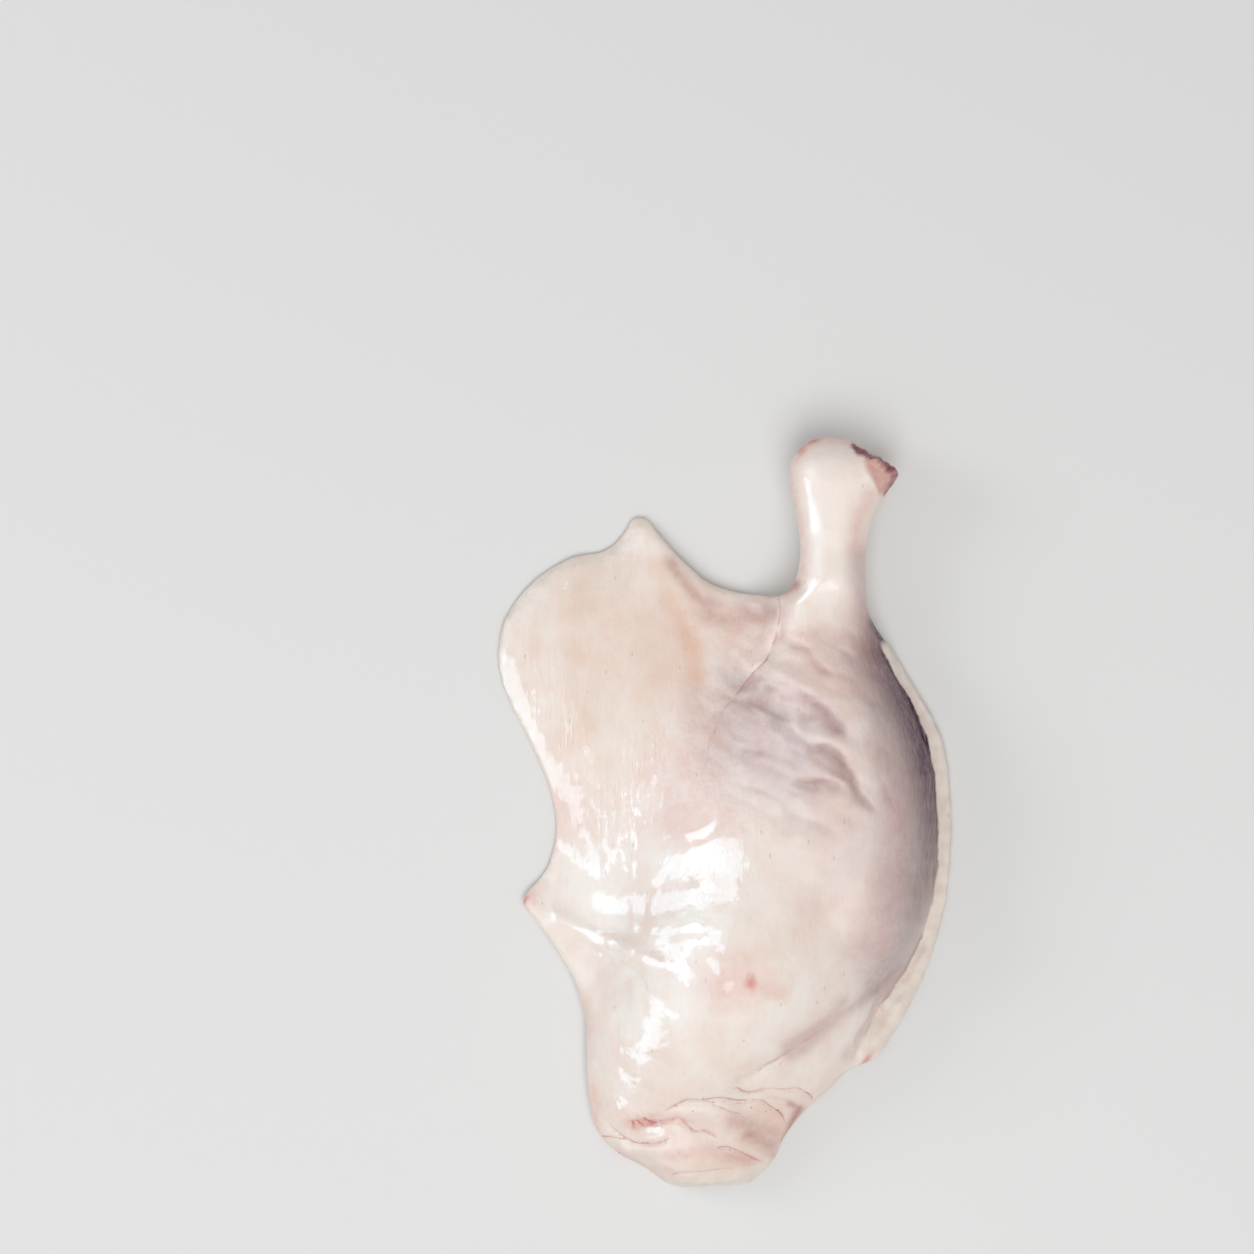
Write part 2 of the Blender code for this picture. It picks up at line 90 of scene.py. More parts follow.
def addShader(tree, sockets):
    shader = addNode(tree, "BsdfPrincipled", sockets)["BSDF"]
    addNode(tree, "OutputMaterial", {"Surface": shader})


# studio: an even sky, a soft light low on the left, a larger one above, and a window that only shines
studio = {
    "sky": ("#ffffff", 0.44),
    "lights": {
        "low left": {"from": (-0.95, 0.3, 0.62), "size": (0.4, 0.4), "power": 2.1},
        "high": {"from": (0.1, -0.42, 1.15), "size": (0.8, 0.8), "power": 7.0},
        "window": {"from": (-1.04, 0.08, 0.6), "size": (1.45, 1.5), "power": 42.0, "shineOnly": True,
                   "colour": "#ccebff"},
    },
    "floor": "#e9e9e8",
}


def addStudio():
    world = bpy.data.worlds.new("sky")
    world.use_nodes = True
    world.node_tree.nodes["Background"].inputs["Color"].default_value = linear(studio["sky"][0])
    world.node_tree.nodes["Background"].inputs["Strength"].default_value = studio["sky"][1]
    bpy.context.scene.world = world
    bpy.context.scene.view_settings.view_transform = "Standard"
    for name, light in studio["lights"].items():
        data = bpy.data.lights.new(name, "AREA")
        data.shape = "RECTANGLE"
        data.size, data.size_y = light["size"]
        data.energy = light["power"]
        data.color = linear(light.get("colour", "#ffffff"))[:3]
        lamp = bpy.data.objects.new(name, data)
        lamp.visible_diffuse = not light.get("shineOnly", False)
        bpy.context.scene.collection.objects.link(lamp)
        lamp.location = light["from"]
        lamp.rotation_euler = Vector(light["from"]).to_track_quat("Z", "Y").to_euler()
    bpy.ops.object.select_all(action="DESELECT")
    bpy.ops.mesh.primitive_plane_add(size=4.0, location=(0.0, 0.0, -0.0002))
    floor = bpy.context.active_object
    floor.name = "floor"
    paper = newMaterial("matt backdrop paper")
    addShader(paper.node_tree, {
        "Base Color": studio["floor"], "Roughness": 0.8, "Specular IOR Level": 0.2,
    })
    floor.data.materials.append(paper)


# helpers for shaping a mesh: places are in millimetres, one row for each vertex
def placesOf(piece):
    places = np.empty(len(piece.data.vertices) * 3)
    piece.data.vertices.foreach_get("co", places)
    return places.reshape(-1, 3) / mm


def normalsOf(piece):
    normals = np.empty(len(piece.data.vertices) * 3)
    piece.data.vertex_normals.foreach_get("vector", normals)
    return normals.reshape(-1, 3)


def placeAt(piece, places):
    places[:, 2] = np.maximum(places[:, 2], 0.0)
    piece.data.vertices.foreach_set("co", (places * mm).ravel())
    piece.data.update()


def pushOut(piece, amount):
    placeAt(piece, placesOf(piece) + normalsOf(piece) * amount[:, None])


def uneven(places, size, seed=0.0):
    # smooth noise from about -1 to 1, with lumps of that size, which may differ by axis
    scaled = places / np.array(size) + seed
    return np.array([noise.noise(p) for p in scaled.tolist()])


def smoothStep(value, low, high):
    t = np.clip((value - low) / (high - low), 0.0, 1.0)
    return t * t * (3.0 - 2.0 * t)


def hump(value, width):
    # 1 where the value is 0, and nearly gone at twice the width
    return np.exp(-((value / width) ** 2))


def turned(places, degrees, middle=(0.0, 0.0)):
    # how far places lie along and across a direction, seen from above
    turn = math.radians(degrees)
    dx, dy = places[:, 0] - middle[0], places[:, 1] - middle[1]
    return dx * math.cos(turn) + dy * math.sin(turn), dy * math.cos(turn) - dx * math.sin(turn)


def driftOf(places, size):
    # a slow sideways drift that keeps routes from looking ruled
    return np.stack([uneven(places, size, 3.0), uneven(places, size, 8.0), np.zeros(len(places))], 1)


def smoothCurve(route, steps=6):
    # a Catmull-Rom curve through the route's points
    points = np.array([route[0], *route, route[-1]], float)
    curve = []
    for a, b, c, d in zip(points[:-3], points[1:-2], points[2:-1], points[3:]):
        for t in np.arange(steps) / steps:
            curve.append(0.5 * (2 * b + (c - a) * t + (2 * a - 5 * b + 4 * c - d) * t**2
                                + (3 * b - a - 3 * c + d) * t**3))
    return np.array([*curve, points[-1]])


def fromRoute(places, route):
    # distance to a route seen from above, positive on its left, and the share of the way along it
    curve = smoothCurve(route)
    gap = np.full(len(places), 1e6)
    along = np.zeros(len(places))
    for i, (start, end) in enumerate(zip(curve[:-1], curve[1:])):
        run = end - start
        off = places[:, :2] - start
        t = np.clip(off @ run / (run @ run), 0.0, 1.0)
        side = np.where(run[0] * off[:, 1] - run[1] * off[:, 0] < 0.0, -1.0, 1.0)
        here = side * np.linalg.norm(off - t[:, None] * run, axis=1)
        nearer = np.abs(here) < np.abs(gap)
        gap[nearer] = here[nearer]
        along[nearer] = (i + t[nearer]) / (len(curve) - 1)
    return gap, along


def fadeAtEnds(along, route, run):
    # 0 at the route's two ends and 1 from so many millimetres on
    length = sum(math.dist(a, b) for a, b in zip(route[:-1], route[1:]))
    return smoothStep(np.minimum(along, 1.0 - along) * length, 0.0, min(run, 0.5 * length))


def inPatch(places, middle, radii, degrees=0.0, ragged=0.0, soft=0.75):
    # 1 in the middle of an oval patch seen from above and 0 outside it
    along, across = turned(places, degrees, middle)
    reach = np.hypot(along / radii[0], across / radii[1])
    if ragged:
        reach = reach + ragged * uneven(places, min(radii) * 0.5, middle[0])
    return smoothStep(1.0 + soft / 2 - reach, 0.0, soft)


def strongest(places, marks):
    # marks are routes (points, half width, strength) or patches (middle, radii, degrees, strength)
    field = np.zeros(len(places))
    for mark in marks:
        if isinstance(mark[0], list):
            field = np.maximum(field, hump(fromRoute(places, mark[0])[0], mark[1]) * mark[2])
        else:
            field = np.maximum(field, inPatch(places, mark[0], mark[1], mark[2], 0.25, 1.3) * mark[3])
    return field


def keepFields(piece, fields):
    for name, values in fields.items():
        field = piece.data.attributes.new(name, "FLOAT", "POINT")
        field.data.foreach_set("value", values.astype(np.float32))


def applyLast(piece):
    bpy.ops.object.modifier_apply(modifier=piece.modifiers[-1].name)


def fineCopy(nodeName, pieceName, fineness):
    # the CAD node's shape again, in even small faces
    piece = bpy.data.objects.new(pieceName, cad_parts[nodeName].data.copy())
    bpy.context.scene.collection.objects.link(piece)
    piece.data.materials.clear()
    bpy.ops.object.select_all(action="DESELECT")
    piece.select_set(True)
    bpy.context.view_layer.objects.active = piece
    bpy.ops.object.mode_set(mode="EDIT")
    bpy.ops.mesh.select_all(action="SELECT")
    bpy.ops.mesh.remove_doubles(threshold=0.01 * mm)
    bpy.ops.object.mode_set(mode="OBJECT")
    rounded = piece.modifiers.new("rounded", "SUBSURF")
    rounded.levels = rounded.render_levels = fineness["subdivisions"]
    applyLast(piece)
    evened = piece.modifiers.new("evened", "REMESH")
    evened.mode = "VOXEL"
    evened.voxel_size = fineness["voxel"] * mm
    applyLast(piece)
    relaxed = piece.modifiers.new("relaxed", "SMOOTH")
    relaxed.factor = 0.5
    relaxed.iterations = fineness["smoothing"]
    applyLast(piece)
    return piece


def thinOut(piece, hidden, trianglesLeft):
    # fewer faces where nothing is seen
    bpy.context.view_layer.objects.active = piece
    group = piece.vertex_groups.new(name="hidden")
    group.add(np.flatnonzero(hidden > 0.5).tolist(), 1.0, "REPLACE")
    thinned = piece.modifiers.new("thinned", "DECIMATE")
    thinned.ratio = min(1.0, trianglesLeft / (2.0 * len(piece.data.polygons)))
    thinned.vertex_group = group.name
    thinned.vertex_group_factor = 100.0
    applyLast(piece)
    piece.vertex_groups.clear()


def nearestOn(places, nodeName, reach):
    # the nearest spot on the node's own surface, and how far off it is, up to the reach
    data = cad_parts[nodeName].data
    tree = BVHTree.FromPolygons([v.co for v in data.vertices], [p.vertices for p in data.polygons])
    nearest, gap = places.copy(), np.full(len(places), float(reach))
    for i, place in enumerate((places * mm).tolist()):
        spot, _, _, distance = tree.find_nearest(Vector(place), reach * mm)
        if spot is not None:
            nearest[i], gap[i] = np.array(spot) / mm, distance / mm
    return nearest, gap


# the skin: places are seen from above, in millimetres
duckSkin = {
    "voxel": 0.7,
    "subdivisions": 2,
    "smoothing": 5,
    "triangles": 196000,
    "drift": (6.0, 0.9),  # lumps that the routes wander by, and how far
    "swells": (0.45, (20.0, 24.0, 20.0)),  # height and size of the unevenness, here and below
    "ripples": (0.14, (4.0, 8.0, 6.0)),
    "flapWaves": (0.4, (8.0, 30.0, 12.0)),
    "flap": ((-30.0, 36.0), (30.0, 44.0)),  # middle and radii
    "fatLumps": (0.4, (6.0, 6.0, 6.0)),
    "brimEnds": (-68.0, 48.0),  # where the flat brim starts and ends along the leg
    "nearMuscle": 9.0,  # how far from the muscle the fat's inner side grows pink
}
# creases at the hip: route, their fold (half width, depth, step) and their red line (half width, strength)
hipCreases = [
    ([(-16.4, -78.3), (-13.1, -76.3), (-9.2, -74.7), (-5.2, -74.4), (0.4, -74.5), (5.2, -75.1), (9.2, -76.1),
      (12.4, -77.9), (14.8, -79.8), (16.8, -81.9)], (0.55, 0.4, 0.6), (0.2, 0.6)),
    ([(2, -71.9), (6, -73.1), (11.6, -72.3), (18, -72.3), (22, -73.9), (23.2, -76.3)],
     (0.5, 0.45, 0.8), (0.24, 0.65)),
    ([(-21.1, -82.5), (-17.1, -81.9), (-13.1, -81.2), (-10, -81.8), (-6.6, -83.6), (-2, -85.6)],
     (0.6, 0.9, -1), (0.26, 0.45)),
    ([(-30.7, -82.7), (-28.3, -84.6), (-25.1, -86.1), (-21.1, -86.5), (-17.1, -86.2), (-14.4, -85.4)],
     (0.6, 0.7, 0.9), (0.22, 0.6)),
    ([(-33.1, -85.8), (-29.9, -86.3), (-26, -86)], (0.5, 0.4, 0.4), (0.2, 0.6)),
    ([(-3, -87.8), (1, -88), (5.2, -90), (9.6, -92.6)], (0.6, 0.5, 0.6), (0.22, 0.5)),
    ([(-14.8, -95.4), (-9.2, -95), (-3.6, -94.6), (2.8, -93.8)], (0.6, 0.5, 0.5), (0.24, 0.4)),
    ([(-3.6, -75.8), (0.4, -77.1), (4.4, -78.7)], (0.5, 0.3, 0.2), (0.18, 0.45)),
]
# more folds: route, half width, depth (below zero for a ridge), and the left side's step over the right
skinFolds = [
    ([(15.2, 57), (14, 48.6), (9.6, 39.6), (4, 33.4), (-3, 25)], 0.7, 0.3, -0.25),
    ([(40, 46), (44.5, 38.6), (49.6, 30.1), (53.8, 20.8), (56.4, 10.2), (57, -1.7), (56.8, -15),
      (55.4, -24.2), (52.6, -33.5), (47.8, -42.8), (42.3, -49.6), (38.2, -58.4), (34.6, -65.6)], 0.9, 0.8, 0),
    ([(42, -49.4), (33, -54.6), (20.8, -60.6), (7.6, -68.2), (2.5, -71.1)], 1, 0.7, 0.3),
    ([(47, -42), (37, -50), (26, -55), (14, -62)], 1.6, 0.6, 0),
    ([(44, -50), (38, -57), (34.5, -63)], 1.2, 0.9, 0.4),
    ([(49, -46), (43, -54), (39, -61)], 1, 0.6, 0.3),
    ([(9, -75), (14.6, -75.6), (19.4, -77.6), (21.6, -80)], 1.5, 0.9, 0.7),
    ([(-1.2, -89.8), (1.2, -90.2), (4.4, -91), (7.6, -92.6), (9.2, -93.8)], 0.5, 0.6, 0.6),
    ([(0, -79), (6, -82), (11, -83.4), (16.4, -83.6)], 3.2, 0.6, 0),
    ([(3, -84), (7, -87), (10, -90)], 2, 0.4, 0.2),
    ([(-12, -79.6), (-6, -79), (0, -80.6)], 1.6, 0.25, 0.1),
    ([(-20, -89.6), (-12, -90.4), (-4, -89.4)], 1.8, 0.3, 0.1),
    ([(-14, -88.4), (-6, -86.6), (2, -86.6)], 2.6, 0.5, 0),
    ([(-13.3, 65.1), (-8.2, 62.4), (-4.5, 57.6), (0.4, 54.7), (4.5, 51.6)], 1.5, -0.5, 0),
    ([(-15.1, 60.4), (-12, 52), (-8.2, 42.8)], 2.8, 0.35, 0),
    ([(3, 56), (8.4, 53), (13, 52.4)], 1.6, 0.7, 0),
    ([(2, 51), (7, 48), (11, 47.6)], 2.2, 0.3, 0),
    ([(16.5, 54.4), (19, 55.8), (23.1, 58.7), (27.3, 61.2)], 1.4, -0.5, 0),
    ([(15.5, 57.8), (18, 59), (20, 61.6)], 1.3, 0.4, 0),
    ([(-47.7, -26.1), (-43.2, -28.2), (-33.1, -33.3), (-22.5, -37.2), (-15.1, -39.9)], 2.4, -1.1, 0),
    ([(-43.7, -30.9), (-33.1, -37), (-25.2, -40.9), (-19.9, -45.7)], 1.3, 0.4, 0.25),
    ([(-46, -13.5), (-47.4, -18), (-50.5, -21.5)], 1.2, 0.6, 0),
]
# the calf's slack skin lies in soft folds: each valley's crisp side, how far it reaches to the route's right,
# its depth, how far the crisp side stands over it, and how much shade is painted into it
calfValleys = [
    ([(17.2, 29), (23.1, 29.3), (26.2, 28.2), (28.6, 25.3), (31, 22.7), (32.6, 20.8)], 3.2, 0.65, 0.3, 0.8),
    ([(20.7, 19.5), (23.9, 18.4), (26.8, 17.9), (29.9, 15.2), (31.3, 12.6), (33.4, 9.1), (35.5, 5.4),
      (37.6, 3), (41.1, -0.4)], 2.6, 0.7, 0.3, 0.85),
    ([(18.3, 23.2), (14.6, 25), (11.4, 26.6), (8.5, 28.8), (5.3, 29.5), (2.7, 30.6)], 2.6, 0.6, 0.3, 0.6),
    ([(16.7, 9.7), (21.2, 8.6), (25.2, 8.9), (29.2, 7.8), (33.1, 4.9)], 2.3, 0.5, 0.3, 0.6),
    ([(15.4, 18.9), (18.6, 16.8), (20.4, 15)], 2, 0.35, 0.1, 0.3),
    ([(8, 14.2), (10.6, 12.1), (14.6, 10.7), (18.6, 9.4)], 2.2, 0.35, 0.1, 0.35),
    ([(23.6, 38.8), (26.2, 38.3), (29.9, 36.2)], 2.2, 0.45, 0.15, 0.5),
    ([(29.4, 43.9), (32.1, 42.8), (35, 40.7)], 2, 0.5, 0.2, 0.35),
    ([(8.7, 34.3), (11.9, 33.8), (15.1, 33)], 1.8, 0.35, 0.1, 0.45),
    ([(19.1, 33), (22, 31.7), (25.7, 30.1)], 1.4, 0.3, 0.1, 0.3),
    ([(30.5, 50), (32.9, 48.1), (35.2, 45.4)], 1.8, 0.4, 0.2, 0.2),
    ([(2.7, 18.2), (6.6, 16.8), (10.6, 16.3)], 2.6, 0.3, 0, 0.3),
    ([(36.3, 32.7), (39, 28.5), (41.1, 22.1)], 2, 0.35, 0.1, 0.25),
    ([(40, 11.5), (42.1, 6.2), (44.5, -0.4)], 1.8, 0.3, 0.1, 0.25),
]
# and the swells between them: route, half width, height
calfSwells = [
    ([(5.3, 37.5), (14.6, 35.4), (22.5, 32.2), (29.2, 28.5), (33.7, 24.2), (35, 20)], 3.2, 0.75),
    ([(2.7, 23.7), (11.9, 22.7), (17.8, 20.8)], 2.4, 0.35),
    ([(23.1, 20.8), (28.4, 18.9), (32.6, 16.3), (36.3, 10.5), (39, 4.9)], 2.8, 0.7),
    ([(19.9, 12.6), (25.7, 10.7), (30.5, 8.1), (33.7, 4.6)], 1.7, 0.45),
    ([(31, 47), (34.7, 43.9), (37.4, 39.6)], 1.8, 0.35),
]
# puckers: broad soft folds where the calf's skin hangs slack
puckers = {
    "middle": (18.5, 22.5),
    "radii": (22, 26),
    "degrees": -27,
    "size": (13, 3.6, 20),
    "height": 0.5,
}
# the flap thins towards its rim
flapRim = [(-24.4, 78.6), (-31.6, 70), (-43, 67.2), (-52, 60.8), (-58.4, 52), (-60.3, 39.5), (-57, 29),
           (-51.4, 18), (-46.9, 7), (-45, -3), (-46.2, -11.5), (-48.6, -16.5)]
flapSlope = {"share": 0.6, "width": 15, "power": 1.5}
# where the wet skin is drawn into fine lengthwise creases that catch the light
crinkles = [
    ((-32, -6), (13, 13), 20, 1),
    ((-43, 22), (8, 17), 18, 0.8),
    ((-12, -16), (20, 9), 18, 0.3),
    ((-24, 6), (13, 13), 0, 0.8),
]
# the crease between the leg's round side and its flat fat brim
brimCrease = [(40, 47), (44.5, 38.6), (49.6, 30.1), (53.8, 20.8), (56.4, 10.2), (57, -1.7),
              (56.8, -15), (55.4, -24.2), (52.6, -33.5), (47.8, -42.8), (42.3, -50.6), (38.2, -58.4),
              (34.6, -67)]
hockCut = {
    "middle": (39, 92.8, 12.4),
    "facing": (0.531, 0.842, 0.1),
    "fleshRadius": 6.9,
    "pits": [(38.9, 94.4), (41.2, 93.4)],
    "pitDepth": 1.9,
    "pitWidth": 1.1,
    "tendons": [
        ((43.6, 90, 17.4), 1.3), ((36.2, 95, 19.4), 1), ((34, 96.2, 8.6), 1.3), ((42.6, 91.4, 5.6), 1.1),
    ],
    "bulge": 1.5,  # how far the blood above the bone stands out, where, and how wide it is
    "bulgeAt": 40.6,
    "bulgeWidth": 3.6,
    "boneRadius": 6.6,
    "pull": 1.2,  # how far the flesh is drawn to the bone
    "skinEdge": [
        (33.6, 99.4), (35.8, 96.4), (36.8, 93.4), (37.4, 90.5), (39.4, 87), (41.4, 83.8), (43, 80.6),
    ],
    "skinEdgeHeight": 0.3,
}
# thick fat at the rims of the flap and the hip end, as marks
fatRims = [
    ([(-21.8, 78), (-26, 72.5), (-31.6, 68.5), (-43, 65.4), (-50, 61), (-56, 53), (-59, 42),
      (-57, 31)], 3, 1.5),
    ([(-30, -87), (-20, -93), (-12, -97.6), (2, -97.4), (10, -93.4)], 3, 1.5),
    ([(20, -79), (29, -70), (36, -65)], 2.6, 0.6),
]
# bare white fat along the hip's end, as marks
hipRim = [([(-20, -97.6), (-14, -99.4), (-4, -99), (4, -98.4), (10, -95.6)], 1.8, 1)]

# tints of the skin, as routes (points, half width, strength) and patches (middle, radii, degrees, strength)
skinTints = {
    "mauveFleshAndShade": [  # flesh seen through thin skin, with painted shade in the calf's valleys and folds and along the knee side's crease
        ([(34.6, 68), (35.8, 58), (37.6, 48), (42.4, 38), (46, 28)], 3.2, 0.42),
        ([(38, 44), (41.6, 33), (43.4, 20), (44.4, 8), (45, -6), (44, -20), (38, -34)],
         9, 0.38),
        ((30, -6), (13, 18), -10, 0.2),
        ((16, 18), (25, 15), -24, 0.34),
        ((8, 32), (9, 5), -20, 0.24),
        ((24, 12), (14, 7), -25, 0.14),
        ([(9, 16), (14.5, 14.4), (18, 12.6)], 2.4, 0.44),
        ([(15, 30.8), (20, 30.4), (23, 29.6)], 1.8, 0.44),
        ((9.5, 54.6), (5.6, 1.9), -12, 0.3),
        ([(46, -41), (38, -48), (28, -53.8), (16, -61)], 2, 0.3),
        ([(34, 34), (36.5, 28), (39.5, 18)], 3.2, 0.2),
        ([(40.5, -46), (40, -52), (36.6, -58), (32.4, -64)], 2, 0.2),
        ([(52.6, -33.5), (47.8, -42.8), (42.3, -50.6), (38.2, -58.4)], 1.2, 0.5),
        ([(31, -50), (25, -57), (17, -63)], 2.6, 0.3),
    ],
    "pale": [  # dry tight skin over the hock's knob, and painted highlights on the calf's swells and low on the body
        ([(26, 92), (28, 84), (27.4, 72), (27, 62)], 6.8, 1),
        ([(7, 38.5), (14, 37), (21, 34.4)], 2.6, 0.5),
        ([(27, 33), (32, 29), (35.5, 25)], 2.8, 0.6),
        ([(23.1, 20.8), (28.4, 18.9), (32.6, 16.3)], 1.8, 0.5),
        ([(33.5, 19), (36, 14), (38.5, 8)], 2.6, 0.55),
        ([(21.9, 11.8), (25.7, 10.7), (30.5, 8.1)], 1.4, 0.3),
        ((29.5, 46.5), (5.5, 5), 0, 0.6),
        ((11, -16), (14, 9), 0, 0.6),
    ],
    "brown": [  # painted shade in the folds where fat and flesh meet, at the hip, the crotch and the flap's inner edge
        ([(2, -80.6), (8, -83), (13, -85)], 2.6, 0.42),
        ([(6.4, -84.8), (9.4, -86.4), (12.4, -88)], 2.4, 0.6),
        ([(6, -84.6), (9.6, -88.4), (12.6, -90.6)], 1.8, 0.4),
        ([(4.4, -90.6), (8.6, -92.6)], 1.4, 0.3),
        ([(19.8, -78.4), (17.8, -82.4), (15.8, -87)], 1.3, 0.8),
        ([(17, -76.8), (20.2, -78.6)], 0.9, 0.6),
        ([(12, 58.4), (15.6, 59.4), (18.6, 60.6)], 1.6, 0.75),
        ([(-4, 53), (4, 51.4), (11, 52.4)], 3.2, 0.5),
        ([(-14.6, 66.6), (-10.8, 61.6), (-7, 57.4), (-2, 54.6)], 1.9, 0.6),
    ],
    "purpleFleshAndShade": [  # dark flesh close under the skin of the knee's side, darkened further as painted shade where that steep side turns from the light
        ([(43, 43), (47, 35), (51.6, 24), (54.6, 12)], 7.6, 0.84),
        ([(54.6, 12), (55.4, 5)], 7.5, 0.78),
        ([(55.4, 5), (55.6, -1)], 7.3, 0.72),
        ([(55.6, -1), (55.4, -6)], 7.1, 0.66),
        ([(55.4, -6), (54.8, -11)], 6.8, 0.59),
        ([(54.8, -11), (53.8, -16)], 6.5, 0.52),
        ([(53.8, -16), (52.4, -21)], 6.2, 0.46),
        ([(40.6, 50), (43.4, 43.6), (47, 37)], 3, 0.95),
        ([(52.4, -21), (50.4, -27)], 5.7, 0.39),
        ([(52, -24), (47, -36), (40, -45)], 5, 0.32),
    ],
    "tan": [  # warm fat of the flap, with painted shade in the fold along its inner edge
        ([(-17, 66), (-15.1, 57.4), (-11.5, 50), (-8.2, 42.8), (-7.5, 36)], 3.2, 0.8),
        ((-30, 38), (24, 30), 0, 0.26),
        ((-37, 43), (7, 4), 20, 0.4),
        ((-44, 18), (9, 16), 15, 0.25),
    ],
    "blushAndEdgeShade": [  # blood close under the skin, with painted shade along the shank's two edges and in the hip's hollow
        ([(17.6, 94), (19.8, 97), (23.6, 99.2), (30.5, 99.4), (35, 97.6)], 2.3, 0.55),
        ([(16.6, 90), (18, 82), (20.4, 74), (20.4, 64)], 2, 0.45),
        ([(38, 84), (35, 78), (34, 70)], 1.8, 0.45),
        ((-9, 4), (14, 12), -30, 0.45),
        ((2, -42), (10, 7.5), 0, 0.35),
        ([(6.4, -43), (10.5, -46), (14.6, -46.8)], 2, 0.45),
        ((6.4, -43.3), (2, 2.8), 15, 1),
        ((13, -82.5), (6, 5), -25, 0.4),
        ([(-28.3, -90.6), (-22.7, -93.4), (-17.1, -96.6)], 1.8, 0.9),
        ((-16.8, -95.6), (3.4, 2.4), 0, 1),
        ((-34.6, -80), (1.8, 9), 0, 0.5),
        ((-36.4, -58), (1.6, 8), 0, 0.35),
        ((18.5, 46.5), (4.5, 2.4), -10, 0.45),
        ((-52.6, -22.8), (2.4, 2.4), 0, 0.6),
        ([(-14, -90), (-4, -89.6), (6, -92.4)], 3, 0.5),
        ((-6, -83), (22, 12), 0, 0.22),
        ((-10, 50), (10, 14), -20, 0.2),
        ((6, 47), (9, 8), -20, 0.4),
        ((26, 40), (14, 12), 0, 0.3),
        ((-46, -2), (5, 12), -20, 0.4),
    ],
    "clot": [  # dark blood at the hock's cut
        ([(35.4, 97), (38.4, 95.6), (41.3, 94.2), (43.4, 92.2)], 2.4, 1.05),
        ([(45.4, 91), (44.4, 87.8), (42.8, 84.8)], 1.7, 0.55),
        ((38.9, 94.4), (1.5, 1.3), 0, 1.1),
        ((41.2, 93.4), (1.6, 1.3), 0, 1.1),
    ],
    "blood": [  # small nicks and bruises
        ([(-24.6, -81), (-24.1, -82.8)], 0.34, 1.2),
        ([(-23.4, -80.9), (-22, -82)], 0.32, 1.2),
        ([(-21.3, -80.4), (-18.6, -81.6)], 0.34, 1.1),
        ((-22, -81.4), (4.2, 2), 10, 0.36),
        ([(-19, -82), (-15, -81.4), (-10.6, -81.8)], 0.7, 0.2),
        ([(4, -72.6), (6.4, -73), (9.6, -72.6)], 0.5, 0.3),
        ([(19.6, 96), (21.2, 97.8), (23.6, 99.2)], 1.2, 0.6),
        ([(57.4, 4.9), (56.8, -1.7)], 0.7, 0.35),
        ([(57.5, -15.5), (55.9, -18.9)], 0.7, 0.35),
        ([(55.2, -26.1), (54.3, -28.6)], 0.7, 0.3),
        ([(39.6, -62.6), (36.6, -67.6)], 0.9, 0.6),
        ([(-54, -24.4), (-52.4, -22.4)], 0.6, 0.6),
        ([(15.8, 58.6), (18.2, 60.2)], 1, 0.25),
        ((6.5, -43.4), (1.1, 1.7), 15, 0.35),
    ],
}
